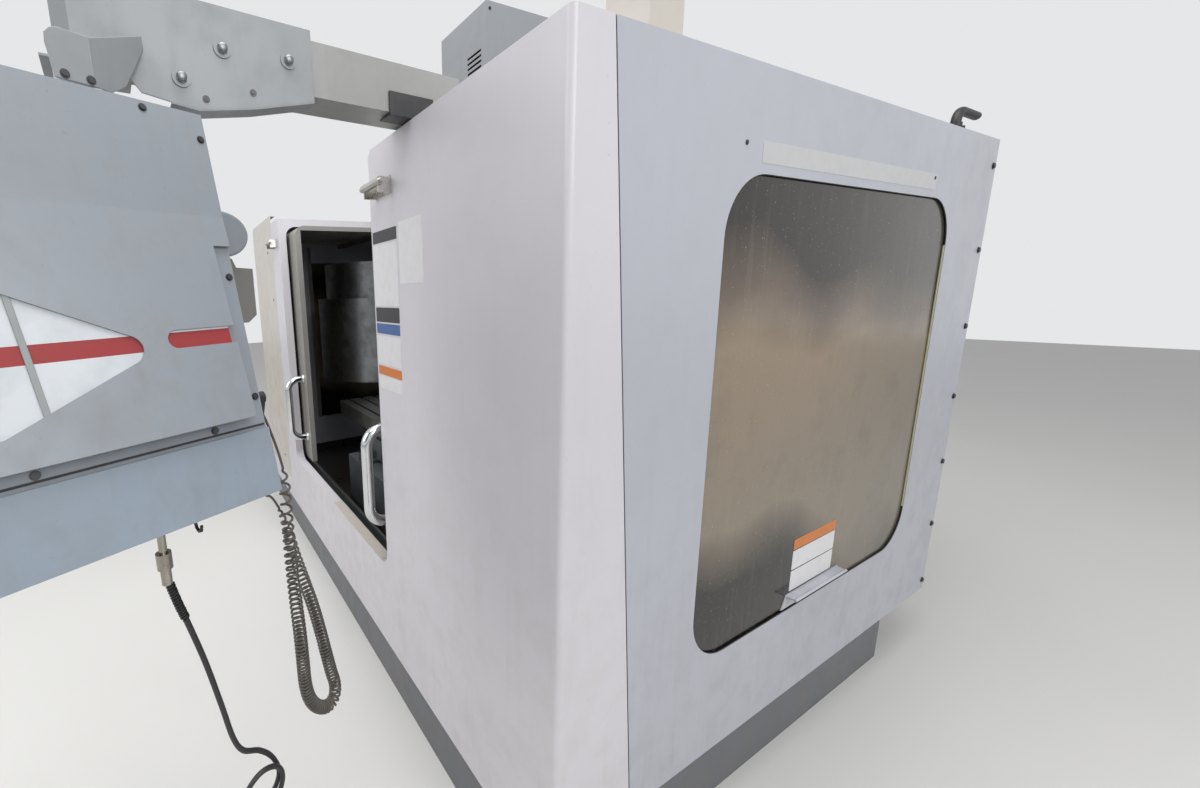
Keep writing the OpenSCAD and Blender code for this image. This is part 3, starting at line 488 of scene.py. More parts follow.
@dataclass(frozen=True)
class CoatedPaper(Finish):
    """Coated cover paper of a booklet: white, a little grey where it was handled, with one plain band."""

    colour: str
    handled: str
    band: str
    band_z: Span
    handled_mm: float = 70
    fibre_mm: float = 2

    def surface(self, tree: Tree, where: Source) -> dict[str, object]:
        """Make the handled places, the band between its two heights and the paper's fibre.

        Args:
            tree: Node tree that gets them.
            where: Object coordinates in metres.

        Returns:
            The shader's inputs.
        """
        greyed = patches(tree, where, self.handled_mm, 4, result=(0.0, 0.5))
        height = add(tree, "ShaderNodeSeparateXYZ", (where,)).outputs["Z"]
        above = add(tree, "ShaderNodeMath", (height, self.band_z[0]), operation="GREATER_THAN")
        under = add(tree, "ShaderNodeMath", (height, self.band_z[1]), operation="LESS_THAN")
        inside = add(tree, "ShaderNodeMath", (above, under), operation="MULTIPLY")
        return {
            "Base Color": coats(tree, self.colour, (greyed, self.handled), (inside, self.band)),
            "Roughness": 0.55,
            "Normal": relief(tree, where, self.fibre_mm, 4, 0.08, 0.2, 0.6),
            "IOR": 1.45}


@dataclass(frozen=True)
class StudioFloor(Finish):
    """Plain pale poured floor of the studio, dull and hardly clouded."""

    colour: str
    clouded: str
    cloud_mm: float = 900

    def surface(self, tree: Tree, where: Source) -> dict[str, object]:
        """Make the faint clouds.

        Args:
            tree: Node tree that gets them.
            where: Object coordinates in metres.

        Returns:
            The shader's inputs.
        """
        clouds = patches(tree, where, self.cloud_mm, 3, cut=(0.3, 0.7), result=(0.0, 0.12))
        return {"Base Color": coats(tree, self.colour, (clouds, self.clouded)), "Roughness": 0.62}


FINISHES = {
    # Enamelled iron and oily sheet inside: dark, uneven, wet where oil lies; the pan's near black is partly
    # oil and partly painted shade of the bay.
    "casting_grey": CastIronPaint("machine_enamel_grey", "#4E5256", "#34342F"),
    "casting_light": CastIronPaint("machine_enamel_column", "#7A7C7B", "#55524C", oily=0.45),
    # Near black: partly oil, partly painted shade of the dark bay.
    "pan_dark": CastIronPaint("oily_sheet_steel_pan_painted_shade", "#2F2B29", "#1D1A17", 0.36),
    # Stoved sheet outside: broad smooth faces, pale and slightly violet in front; the side's paint is the
    # same paint darker and greyer, painted shade of the faces turned from the light.
    "paint_white": StovedPaint("stoved_paint_white", "#CFCCD1", "#C6C3C9", 0.34, 0.16, "#8F8678"),
    "paint_cream": StovedPaint("stoved_paint_cream", "#C6C0B8", "#BBB5AC", 0.34, 0.26, "#8F8270"),
    # Darker, greyer copy of the front's paint: painted shade of the faces turned from the light.
    "paint_side": StovedPaint("stoved_paint_side_shaded", "#B1B3BC", "#A8AAB2", 0.34, 0.2, "#77736C"),
    "skirt_grey": StovedPaint("stoved_paint_skirt", "#64666C", "#595B61", 0.5, 0.45, "#8A8273", (0.0, 0.3)),
    "door_grey": StovedPaint("stoved_paint_door", "#8F8D88", "#84827D", 0.34, 0.4, "#5E574B", (0.0, 1.9)),
    "channel_grey": StovedPaint("stoved_paint_channel", "#7C7A76", "#6C6A66", grime=0.5),
    "tab_metal": StovedPaint("stoved_paint_tab", "#BDBFC6", "#ADAFB6", grime=0.3),
    "post_black": StovedPaint("stoved_paint_black", "#2B2C2E", "#242527", 0.4, grime=0.3, grime_z=(0.0, 3.0)),
    # Stoved sheet above the roof and on the arm: bluish grey, cleaner, dustier toward its own lower edge.
    "cover_grey": StovedPaint("stoved_paint_head_cover", "#8D9094", "#83868A", grime=0.3, grime_z=(1.6, 3.0)),
    "arm_paint": StovedPaint("stoved_paint_arm", "#9A9B98", "#8F908D", 0.38, grime=0.25, grime_z=(1.6, 2.6)),
    "plate_paint": StovedPaint("stoved_paint_end_plate", "#8F9396", "#85898C", 0.36, grime=0.25,
                               grime_z=(1.6, 2.6)),
    "pendant_paint": StovedPaint("stoved_paint_pendant", "#8A9097", "#7F858C", 0.36, grime=0.3,
                                 grime_z=(0.9, 2.4)),
    "pendant_low": StovedPaint("stoved_paint_pendant_cover", "#8B97A3", "#818C97", 0.36, grime=0.35,
                               grime_z=(1.0, 1.3)),
    # Ground and milled metal: satin, with streaks along the cut.
    "rail_steel": WorkedMetal("ground_rail_steel", "#A9ABAC", "#6B655C", 0.24, Grain.ALONG_Y, 0.9),
    "table_iron": WorkedMetal("ground_table_iron", "#8E8E8C", "#5A534A", 0.32, Grain.ALONG_X, 1.0,
                              tarnish=0.5),
    "track_steel": WorkedMetal("rolled_track_steel", "#77797A", "#4B463F", 0.4, Grain.ALONG_X, 1.2),
    "drum_metal": WorkedMetal("satin_sheet_drum", "#8C8E90", "#55504A", 0.34, Grain.ALONG_Z, 3.0,
                              tarnish=0.55),
    "disc_metal": WorkedMetal("milled_aluminium_disc", "#A5A8AA", "#6C6962", 0.32),
    "spindle_steel": WorkedMetal("hardened_ground_steel", "#C8CACC", "#8B8780", 0.16),
    "feet_steel": WorkedMetal("blackened_steel_feet", "#4A4A4B", "#35312C", 0.45),
    # Plated metal: bright, mirrors the room, with a cloudy film from handling.
    "catch_chrome": WorkedMetal("plated_catch", "#C9C7C2", "#8C867C", 0.22),
    "handle_chrome": WorkedMetal("chrome_plated_tube", "#D6D8DA", "#A9A7A2", 0.1, bump=0.02, tarnish=0.2),
    "coupler_brass": WorkedMetal("nickel_plated_brass", "#B5B0A6", "#5C554B", 0.16, tarnish=0.6),
    # Panes: a brown veil that hides the inside, with painted shade of the inside at the foot and at the top
    # and a painted lit band between.
    "door_glass": FilmedPolycarbonate("filmed_polycarbonate_door_painted_shade", "#4C463F", "#7B7468", film_and_shade_z=(0.6, 1.75),
                                      foot=0.0, see_through=0.25),
    "side_glass": FilmedPolycarbonate("filmed_polycarbonate_side_painted_shade"),
    "screen_glass": DarkScreen("coated_display_glass", "#0E1114", "#1A1E22"),
    "booklet_paper": CoatedPaper("coated_cover_paper", "#C6CACE", "#9BA0A6", "#8E2C2E", (1.389, 1.416)),
    # Moulded plastic and rubber: even colour, soft sheen, duller where it is rubbed.
    "keys_plastic": MouldedPlastic("moulded_keycaps", "#B9B8B2", "#8F8C85", 0.42),
    "cord_black": MouldedPlastic("pvc_cord_sheath", "#232325", "#3B3A3C", 0.42),
    # Its colour lies below the lit cord's grey-brown: partly painted shade of the coil's shaded turns.
    "cord_coil": MouldedPlastic("polyurethane_coil_sheath", "#4F4A45", "#6E6861", 0.36),
    "hose_black": MouldedPlastic("conduit_rubber", "#1F1F21", "#38373A", 0.5),
    "green_plastic": MouldedPlastic("green_button_plastic", "#2E8B45", "#3B7A4B", 0.3),
    "amber_plastic": MouldedPlastic("amber_button_plastic", "#C8A02C", "#A68A38", 0.3),
    "red_plastic": MouldedPlastic("red_button_plastic", "#B02A24", "#8E302A", 0.3),
    "knob_black": MouldedPlastic("phenolic_knob", "#222325", "#3B3B3C", 0.28),
}

TRIM = {
    # Rubber edges and aged sealant: dull dark or yellowish lines.
    "gasket": MouldedPlastic("epdm_gasket", "#262626", "#4B4A42", 0.6),
    "seal": MouldedPlastic("aged_silicone_seal", "#A9A78C", "#7F7C66", 0.5),
    # Small hardware: dark or grey dots with a metal's highlight.
    "screw": WorkedMetal("blackened_screw", "#4B4A4C", "#2E2B28", 0.38),
    "zinc": WorkedMetal("zinc_plated_steel", "#85878A", "#5F5C57", 0.34),
    # Vinyl film of the bare plates: flat fields of one colour, almost without relief.
    "label_white": MouldedPlastic("vinyl_film_white", "#D9D8DA", "#BDBBB8", 0.4, 0.04),
    "label_black": MouldedPlastic("vinyl_film_black", "#26262A", "#3A393B", 0.4, 0.04),
    "label_blue": MouldedPlastic("vinyl_film_blue", "#3A5E93", "#54698A", 0.4, 0.04),
    "label_orange": MouldedPlastic("vinyl_film_orange", "#C97330", "#A8733F", 0.4, 0.04),
    "label_pale": MouldedPlastic("vinyl_film_pale", "#BBBBBC", "#ABABA9", 0.42, 0.04),
    "rail_grey": MouldedPlastic("extruded_binder_rail", "#868A8B", "#6F7272", 0.35),
}


@cache
def material(slot: str) -> bpy.types.Material:
    """Give the material of a slot, built when it is first asked for.

    Args:
        slot: Key of FINISHES or TRIM.

    Returns:
        The material.
    """
    return (FINISHES.get(slot) or TRIM[slot]).build()


def turned(origin: Point, yaw: float = 0.0, tilt: float = 0.0) -> Matrix:
    """Give the place of a local frame.

    Args:
        origin: Its origin in millimetres.
        yaw: Turn about Z in degrees.
        tilt: Turn about its own X after that, in degrees.

    Returns:
        Matrix from local millimetres to metres.
    """
    place = Matrix.Translation(Vector(origin) * MM)
    return (place @ Matrix.Rotation(math.radians(yaw), 4, "Z") @ Matrix.Rotation(math.radians(tilt), 4, "X")
            @ Matrix.Scale(MM, 4))


def corners(node: str) -> tuple[Vector, Vector]:
    """Give a CAD node's lowest and highest corner at rest.

    Args:
        node: Name of the node.

    Returns:
        The two corners in millimetres.
    """
    low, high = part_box(node)
    return Vector(low) / MM, Vector(high) / MM


# The local frames of part.scad: the pendant hangs from its top rear corner and its back slopes, the
# pocket's floor slopes a little more, and the arm starts at its hinge.
PENDANT_TOP = (1047.04, -1502.76, 1817)
PENDANT_YAW = -68.6
BACK_SLOPE = 12.6
POCKET_SLOPE = 4.5
WORLD = turned((0, 0, 0))
PENDANT = turned(PENDANT_TOP, PENDANT_YAW)
PENDANT_REAR = turned(PENDANT_TOP, PENDANT_YAW, BACK_SLOPE)
POCKET = (PENDANT_REAR @ Matrix.Translation((0, 4, -200))
          @ Matrix.Rotation(math.radians(POCKET_SLOPE), 4, "X"))
ARM = turned((890, -915, 1908), 5.35)


def plain_mesh(name: str, shape: bmesh.types.BMesh) -> bpy.types.Mesh:
    """Turn a shape from mesh code into mesh data and free it.

    Args:
        name: Name of the mesh.
        shape: The shape.

    Returns:
        The mesh.
    """
    mesh = bpy.data.meshes.new(name)
    shape.to_mesh(mesh)
    shape.free()
    return mesh


def line_curve(name: str, lines: Sequence[Sequence[Point]], radius: float, resolution: int,
               closed: bool = False) -> bpy.types.Curve:
    """Make a curve of straight stretches with a round section.

    Args:
        name: Name of the curve.
        lines: Points of each of its lines.
        radius: Radius of the section.
        resolution: Roundness of the section.
        closed: Whether each line's ends join.

    Returns:
        The curve data.
    """
    data = bpy.data.curves.new(name, "CURVE")
    data.dimensions = "3D"
    data.bevel_depth = radius
    data.bevel_resolution = resolution
    data.use_fill_caps = not closed
    for line in lines:
        spline = data.splines.new("POLY")
        spline.points.add(len(line) - 1)
        for point, corner in zip(spline.points, line):
            point.co = (*corner, 1)
        spline.use_cyclic_u = closed
    return data


def curve_mesh(data: bpy.types.Curve) -> bpy.types.Mesh:
    """Turn a curve into a mesh and drop the curve.

    Args:
        data: The curve.

    Returns:
        The mesh.
    """
    holder = bpy.data.objects.new(data.name, data)
    mesh = bpy.data.meshes.new_from_object(holder)
    bpy.data.objects.remove(holder)
    bpy.data.curves.remove(data)
    return mesh


def hand_over(obj: bpy.types.Object, body: Body,
              replaces: Sequence[str] = ()) -> bpy.types.Object:
    """Link a piece and tell the frame what it rides on and stands for.

    Args:
        obj: The piece.
        body: Body that it moves with.
        replaces: CAD nodes that it stands for.

    Returns:
        The same object.
    """
    bpy.context.scene.collection.objects.link(obj)
    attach(obj, body.value)
    if replaces:
        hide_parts(*replaces)
    log.info("%s rides on %s", obj.name, body.value)
    return obj


class Piece:
    """Collects shapes in one mesh, in millimetres of a local frame, and hands it to the frame."""

    def __init__(self, name: str, place: Matrix = WORLD) -> None:
        """Start an empty piece.

        Args:
            name: Name of the piece.
            place: Frame that its shapes are given in.
        """
        self.name = name
        self.place = place
        self.shape = bmesh.new()
        self.slots: list[str] = []

    def _take(self, mesh: bpy.types.Mesh, slot: str, smooth: bool = False) -> None:
        """Add a mesh in local millimetres and drop it.

        Args:
            mesh: The mesh.
            slot: Finish.
            smooth: Whether its faces are shaded as one round surface.
        """
        before = len(self.shape.faces)
        self.shape.from_mesh(mesh)
        self.shape.faces.ensure_lookup_table()
        if slot not in self.slots:
            self.slots.append(slot)
        for face in self.shape.faces[before:]:
            face.material_index = self.slots.index(slot)
            face.smooth = smooth
        bpy.data.meshes.remove(mesh)

    def block(self, low: Point, high: Point, slot: str, edge: float) -> None:
        """Add a block with rounded edges.

        Args:
            low: Lowest corner.
            high: Highest corner.
            slot: Finish.
            edge: Radius of its edges.
        """
        part = bmesh.new()
        bmesh.ops.create_cube(part, size=1.0)
        bmesh.ops.scale(part, vec=Vector(high) - Vector(low), verts=part.verts)
        bmesh.ops.translate(part, vec=(Vector(high) + Vector(low)) / 2, verts=part.verts)
        bmesh.ops.bevel(part, geom=part.edges, offset=edge, segments=3, profile=0.5, affect="EDGES")
        self._take(plain_mesh("block", part), slot)

    def sheet(self, outline: Sequence[Point], low: float, high: float, slot: str,
              across: Across = Across.Y, holes: Sequence[Sequence[Point]] = (), edge: float = 0.4,
              at: Matrix = Matrix.Identity(4)) -> None:
        """Add a flat cut sheet.

        Args:
            outline: Corners in the sheet's plane: X and Z across Y, Y and Z across X, X and Y across Z.
            low: Where it starts on the axis that it stands across.
            high: Where it ends on that axis.
            slot: Finish.
            across: Axis that it stands across.
            holes: Outlines cut out of it.
            edge: Radius of its cut edges.
            at: Place of the sheet, for one that stands on no axis.
        """
        loops = [[(a, b, 0) for a, b in loop] for loop in (outline, *holes)]
        data = line_curve("sheet", loops, min(edge, (high - low) / 2.01), 1, closed=True)
        data.dimensions = "2D"
        data.fill_mode = "BOTH"
        data.extrude = (high - low) / 2 - data.bevel_depth
        data.offset = -data.bevel_depth
        mesh = curve_mesh(data)
        shift = Vector((0, 0, 0))
        shift["XYZ".index(across.name)] = (low + high) / 2
        mesh.transform(at @ Matrix.Translation(shift) @ Matrix(across.value).to_4x4())
        self._take(mesh, slot)

    def lathe(self, profile: Sequence[Point], base: Point, along: Point, slot: str, sides: int = 28) -> None:
        """Add a turned shape.

        Args:
            profile: Radius and height of each ring, from one end to the other.
            base: Where height 0 is.
            along: Direction of its axis.
            slot: Finish.
            sides: Faces round it.
        """
        part = bmesh.new()
        turn = Vector((0, 0, 1)).rotation_difference(Vector(along).normalized()).to_matrix().to_4x4()
        place = Matrix.Translation(base) @ turn
        angles = [2 * math.pi * k / sides for k in range(sides)]
        rings = [[part.verts.new(place @ Vector((radius * math.cos(a), radius * math.sin(a), height)))
                  for a in angles] for radius, height in profile]
        for lower, upper in zip(rings, rings[1:]):
            for k in range(sides):
                after = (k + 1) % sides
                part.faces.new((lower[k], lower[after], upper[after], upper[k]))
        part.faces.new(list(reversed(rings[0])))
        part.faces.new(rings[-1])
        bmesh.ops.recalc_face_normals(part, faces=part.faces)
        self._take(plain_mesh("lathe", part), slot, True)

    def rod(self, route: Sequence[Point], radius: float, slot: str, sides: int = 8,
            closed: bool = False) -> None:
        """Add a round rod along a route.

        Args:
            route: Points that it follows.
            radius: Its radius.
            slot: Finish.
            sides: Faces round it; each four of them add one to the section's roundness.
            closed: Whether its ends join.
        """
        self._take(curve_mesh(line_curve("rod", [route], radius, sides // 4 - 1, closed)), slot, True)

    def done(self, body: Body) -> bpy.types.Object:
        """Place the piece in the scene and let it ride on a body.

        Args:
            body: Body that it moves with.

        Returns:
            The finished object.
        """
        bmesh.ops.transform(self.shape, matrix=self.place, verts=self.shape.verts)
        mesh = plain_mesh(self.name, self.shape)
        for slot in self.slots:
            mesh.materials.append(material(slot))
        return hand_over(bpy.data.objects.new(self.name, mesh), body)


def rounded(x0: float, z0: float, x1: float, z1: float, r: float, steps: int = 6) -> list[Point]:
    """Give the outline of a rectangle with round corners.

    Args:
        x0: Left.
        z0: Bottom.
        x1: Right.
        z1: Top.
        r: Radius of the corners.
        steps: Stretches in each corner.

    Returns:
        Corners in order.
    """
    out = []
    for cx, cz, start in ((x1 - r, z0 + r, -90), (x1 - r, z1 - r, 0), (x0 + r, z1 - r, 90),
                          (x0 + r, z0 + r, 180)):
        for k in range(steps + 1):
            a = math.radians(start + 90 * k / steps)
            out.append((cx + r * math.cos(a), cz + r * math.sin(a)))
    return out


def route_length(points: Sequence[Vector]) -> float:
    """Give the length of a line of points."""
    return sum((b - a).length for a, b in zip(points, points[1:]))


def smooth_route(points: Sequence[Point], step: float, fineness: int = 24) -> list[Vector]:
    """Give a smooth line through points, even in its spacing.

    Args:
        points: Points that the line passes.
        step: Distance between its points.
        fineness: Points worked out on each stretch before they are spaced evenly.

    Returns:
        The line's points.
    """
    p = [Vector(q) for q in points]
    p = [2 * p[0] - p[1]] + p + [2 * p[-1] - p[-2]]
    fine: list[Vector] = []
    for i in range(1, len(p) - 2):
        a = 2 * p[i]
        b = p[i + 1] - p[i - 1]
        c = 2 * p[i - 1] - 5 * p[i] + 4 * p[i + 1] - p[i + 2]
        d = -p[i - 1] + 3 * p[i] - 3 * p[i + 1] + p[i + 2]
        for k in range(fineness):
            t = k / fineness
            fine.append((a + b * t + c * t * t + d * t ** 3) / 2)
    fine.append(p[-2])
    out = [fine[0]]
    left = step
    for start, end in zip(fine, fine[1:]):
        length = (end - start).length
        done = 0.0
        while length - done >= left:
            done += left
            out.append(start.lerp(end, done / length))
            left = step
        left -= length - done
    if (out[-1] - fine[-1]).length > step * 0.3:
        out.append(fine[-1])
    else:
        out[-1] = fine[-1]
    return out


def cord_curve(name: str, route: Sequence[Vector], radius: float, slot: str,
               resolution: int) -> bpy.types.Object:
    """Make a cord's curve in metres.

    Args:
        name: Name of the piece.
        route: Centreline in metres.
        radius: Radius in metres.
        slot: Finish.
        resolution: Roundness of the section.

    Returns:
        The curve object, not yet in the scene.
    """
    data = line_curve(name, [route], radius, resolution)
    data.materials.append(material(slot))
    return bpy.data.objects.new(name, data)


@dataclass
class Studio:
    """Camera at the photograph's place, plain lamps, pale floor and pale surroundings."""

    focal_px: float = 470.91
    centre_px: Span = (410.43, 377.54)
    image_px: Span = (1200, 788)
    eye: Point = (2.0959, -1.6, 1.47)
    right: Point = (0.4557, 0.8894, -0.0362)
    up: Point = (-0.1436, 0.1135, 0.9831)
    back: Point = (0.8785, -0.4428, 0.1795)
    sensor_mm: float = 36
    nearest: float = 0.02
    floor_half: float = 14.0

    def camera(self) -> None:
        """Place the camera."""
        wide, high = self.image_px
        data = bpy.data.cameras.new("camera")
        data.sensor_fit = "HORIZONTAL"
        data.sensor_width = self.sensor_mm
        data.lens = self.focal_px * self.sensor_mm / wide
        data.shift_x = 0.5 - self.centre_px[0] / wide
        data.shift_y = (self.centre_px[1] - high / 2) / wide
        data.clip_start = self.nearest
        obj = bpy.data.objects.new("camera", data)
        turn = Matrix((self.right, self.up, self.back)).transposed().to_quaternion().to_matrix()
        obj.matrix_world = Matrix.Translation(self.eye) @ turn.to_4x4()
        bpy.context.scene.collection.objects.link(obj)
        bpy.context.scene.camera = obj

    def lamps(self) -> None:
        """Hang the lamps: place, aim, size in metres and watts of each."""
        for name, place, aim, size, watts in (
            ("overhead", (1.2, -1.4, 5.2), (0.2, -0.6, 0.8), 4.0, 190),
            ("side", (5.2, -0.6, 3.4), (1.0, -0.2, 0.9), 3.0, 95),
            ("front", (-0.6, -5.0, 3.2), (0.0, -0.8, 0.9), 3.0, 70),
        ):
            data = bpy.data.lights.new(name, "AREA")
            data.shape = "DISK"
            data.size = size
            data.energy = watts
            obj = bpy.data.objects.new(name, data)
            turn = (Vector(aim) - Vector(place)).to_track_quat("-Z", "Y")
            obj.matrix_world = Matrix.Translation(place) @ turn.to_matrix().to_4x4()
            bpy.context.scene.collection.objects.link(obj)

    def surroundings(self) -> None:
        """Make the surroundings: a soft light on the object, and a paler background where they are seen."""
        world = bpy.data.worlds.new("pale_surroundings")
        bpy.context.scene.world = world
        world.use_nodes = True
        tree = world.node_tree
        tree.nodes.clear()
        rays = add(tree, "ShaderNodeLightPath").outputs
        seen: Source = rays["Is Camera Ray"]
        for kind in ("Is Glossy Ray", "Is Transmission Ray"):
            seen = add(tree, "ShaderNodeMath", (seen, rays[kind]), operation="MAXIMUM")
        light = add(tree, "ShaderNodeBackground", (linear("#F2F4F7"), 0.5))
        pale = add(tree, "ShaderNodeBackground", (linear("#E6E7E8"), 1.0))
        add(tree, "ShaderNodeOutputWorld", {"Surface": add(tree, "ShaderNodeMixShader", (seen, light, pale))})

    def floor(self) -> None:
        """Lay the floor."""
        h = self.floor_half
        mesh = bpy.data.meshes.new("floor")
        mesh.from_pydata([(-h, -h, 0), (h, -h, 0), (h, h, 0), (-h, h, 0)], [], [(0, 1, 2, 3)])
        mesh.materials.append(StudioFloor("poured_floor", "#D2D1CE", "#BDBBB6").build())
        obj = bpy.data.objects.new("floor", mesh)
        bpy.context.scene.collection.objects.link(obj)

    def build(self) -> None:
        """Build the lamps, the surroundings and the floor, and keep colours as they are written."""
        self.lamps()
        self.surroundings()
        self.floor()
        bpy.context.scene.view_settings.view_transform = "Standard"


@dataclass
class HandwheelCord:
    """Curly cord of the hand wheel: a straight lead from the gland, the coil, and its end in the pendant.

    The coil fades in from the lead over fade_in and runs out over fade_out before its last end_straight.
    """

    wire_d: float = 5.4
    coil_r: float = 13.2
    tight_pitch: float = 8.2
    stretch: float = 20.0
    stretch_power: float = 2.4
    lowest: float = -1358
    reach: float = 640
    narrowing: float = 0.012
    fade_in: float = 26
    fade_out: float = 120
    end_straight: float = 95
    turn_steps: int = 14
    step: float = 2.0
    bend_span: int = 6
    gland: Point = (-14, 95, -560)
    relief: tuple[Point, ...] = (
        (9.5, 0), (9.5, 3), (8.4, 6), (8.4, 9), (7.2, 12), (7.2, 15), (6.0, 18), (6.0, 21), (4.9, 24),
        (4.9, 27), (4.0, 30))
    lead: tuple[Point, ...] = (
        (-14, 95, -560), (-14, 95, -572), (-24, 97, -600), (-40, 100, -660), (-50, 100, -706))
    axis: tuple[Point, ...] = (
        (-50, 100, -706), (-50, 100, -780), (-49, 100, -845), (-50, 100, -938), (-53, 100, -1035),
        (-56, 100, -1110), (-57, 100, -1177), (-59, 99, -1241), (-68, 97, -1287), (-86, 94, -1324),
        (-110, 91, -1350), (-133, 88, -1358), (-149, 86, -1345), (-154, 83, -1318), (-149, 79, -1285),
        (-145, 75, -1251), (-141, 70, -1213), (-137, 65, -1174), (-124, 60, -1094), (-100, 60, -998),
        (-83, 60, -930), (-73, 60, -878), (-60, 66, -836), (-34, 88, -785), (-8, 112, -752),
        (10, 126, -738), (12, 128, -723))

    def pitch(self, height: float, bend: float) -> float:
        """Give the distance between turns, wide at the top where the coil carries its own weight.

        Args:
            height: Local height.
            bend: Curvature of the axis, which opens the turns on its outer side.

        Returns:
            The pitch in millimetres.
        """
        share = min(1.0, max(0.0, (height - self.lowest) / self.reach))
        straight = self.tight_pitch + self.stretch * share ** self.stretch_power
        return straight / max(0.9, 1 - bend * self.coil_r)

    def bend(self, line: Sequence[Vector], i: int) -> float:
        """Give the curvature of a line at one of its points.

        Args:
            line: The line's points.
            i: Number of the point.

        Returns:
            The curvature per millimetre, 0 near the line's ends.
        """
        if not self.bend_span <= i < len(line) - self.bend_span:
            return 0.0
        ahead = line[i + self.bend_span] - line[i]
        behind = line[i] - line[i - self.bend_span]
        return (ahead.normalized() - behind.normalized()).length * 2 / (ahead.length + behind.length)

    def coil(self) -> list[Vector]:
        """Give the coil's centreline.

        Returns:
            Points in local millimetres.
        """
        line = smooth_route(self.axis, self.step)
        end = route_length(line) - self.end_straight
        out: list[Vector] = []
        side = Vector((1, 0, 0))
        angle = run = 0.0
        for i, here in enumerate(line):
            after = line[min(i + 1, len(line) - 1)]
            along = (after - line[max(i - 1, 0)]).normalized()
            side = (side - side.project(along)).normalized()
            other = along.cross(side)
            step = (after - here).length
            pitch = self.pitch(here.z, self.bend(line, i))
            narrow = self.coil_r * (1 - self.narrowing * max(0.0, pitch - self.tight_pitch))
            count = max(1, math.ceil(step / pitch * self.turn_steps))
            for k in range(count):
                part = k / count
                now = run + step * part
                radius = narrow * min(1.0, now / self.fade_in, max(0.0, end - now) / self.fade_out)
                a = angle + 2 * math.pi * step * part / pitch
                out.append(here.lerp(after, part) + radius * (math.cos(a) * side + math.sin(a) * other))
            angle += 2 * math.pi * step / pitch
            run += step
        return out

    def build(self) -> None:
        """Build the cord with its strain relief."""
        route = smooth_route(self.lead, 2 * self.step)[:-1] + self.coil()
        world = [PENDANT @ p for p in route]
        relief_piece = Piece("handwheel_cord_relief", PENDANT)
        relief_piece.lathe(self.relief, self.gland, (0, 0, -1), "cord_black", 20)
        relief_obj = relief_piece.done(Body.PENDANT)
        obj = cord_curve("handwheel_cord", world, self.wire_d / 2 * MM, "cord_coil", 2)
        hand_over(obj, Body.PENDANT, ("cord_lead", "coil_cord"))


@dataclass
class AirHose:
    """Blow-off hose that hangs from the quick coupler in a spring guard and ends in its own plug nipple."""

    hose_d: float = 11.0
    guard_length: float = 84
    guard_r: float = 6.9
    guard_wire_r: float = 1.5
    guard_turn_steps: int = 12
    nipple: tuple[Point, ...] = (
        (6.6, -14), (6.6, 2), (5.0, 2), (5.0, 5), (7.4, 5), (7.4, 12), (4.6, 13), (4.6, 22), (5.6, 24),
        (5.6, 27), (3.6, 28), (3.6, 34))
    route: tuple[Point, ...] = (
        (200, 101, -843.3), (190, 101, -890), (179, 101, -934), (157, 101, -1033), (137, 101, -1146),
        (122, 101, -1236), (104, 101, -1282), (70, 101, -1312), (44, 102.5, -1350), (32, 105, -1394),
        (45, 107, -1425), (76, 109, -1438), (107, 111, -1425), (120, 113, -1394), (107, 115, -1363),
        (76, 116.5, -1350), (45, 118, -1363), (32, 120, -1394), (45, 122, -1427), (84, 124, -1450),
        (130, 126, -1462))

    def guard(self, line: Sequence[Vector]) -> None:
        """Build the spring guard, one turn on each step of the hose.

        Args:
            line: The hose's centreline.
        """
        turns = sum(route_length(line[:i + 1]) < self.guard_length for i in range(len(line))) - 1
        rings: list[Vector] = []
        for start, end in zip(line[:turns], line[1:]):
            along = (end - start).normalized()
            side = (Vector((1, 0, 0)) - along * along.x).normalized()
            other = along.cross(side)
            for k in range(self.guard_turn_steps):
                share = k / self.guard_turn_steps
                a = 2 * math.pi * share
                spoke = math.cos(a) * side + math.sin(a) * other
                rings.append(start.lerp(end, share) + self.guard_r * spoke)
        piece = Piece("air_hose_guard", PENDANT)
        piece.rod(rings, self.guard_wire_r, "cord_black", 4)
        piece.done(Body.PENDANT)

    def build(self) -> None:
        """Build the hose, its spring guard and its end fitting."""
        line = smooth_route(self.route, 6.0)
        world = [PENDANT @ p for p in line]
        fitting = Piece("air_hose_nipple", PENDANT)
        fitting.lathe(self.nipple, line[-1], line[-1] - line[-3], "coupler_brass", 20)
        nipple = fitting.done(Body.PENDANT)
        self.guard(line)
        obj = cord_curve("air_hose_tube", world, self.hose_d / 2 * MM, "cord_black", 3)
        hand_over(obj, Body.PENDANT, ("air_hose",))


def dress_nodes() -> None:
    """Dress every CAD node in its slot's finish."""
    parts = frame["record"]["subparts"]
    for part in parts:
        obj = frame["nodes"][part["node"]]
        if not obj.material_slots:
            obj.data.materials.append(None)
        for holder in obj.material_slots:
            holder.material = material(part["material_slot"])
    log.info("finishes on %d nodes", len(parts))


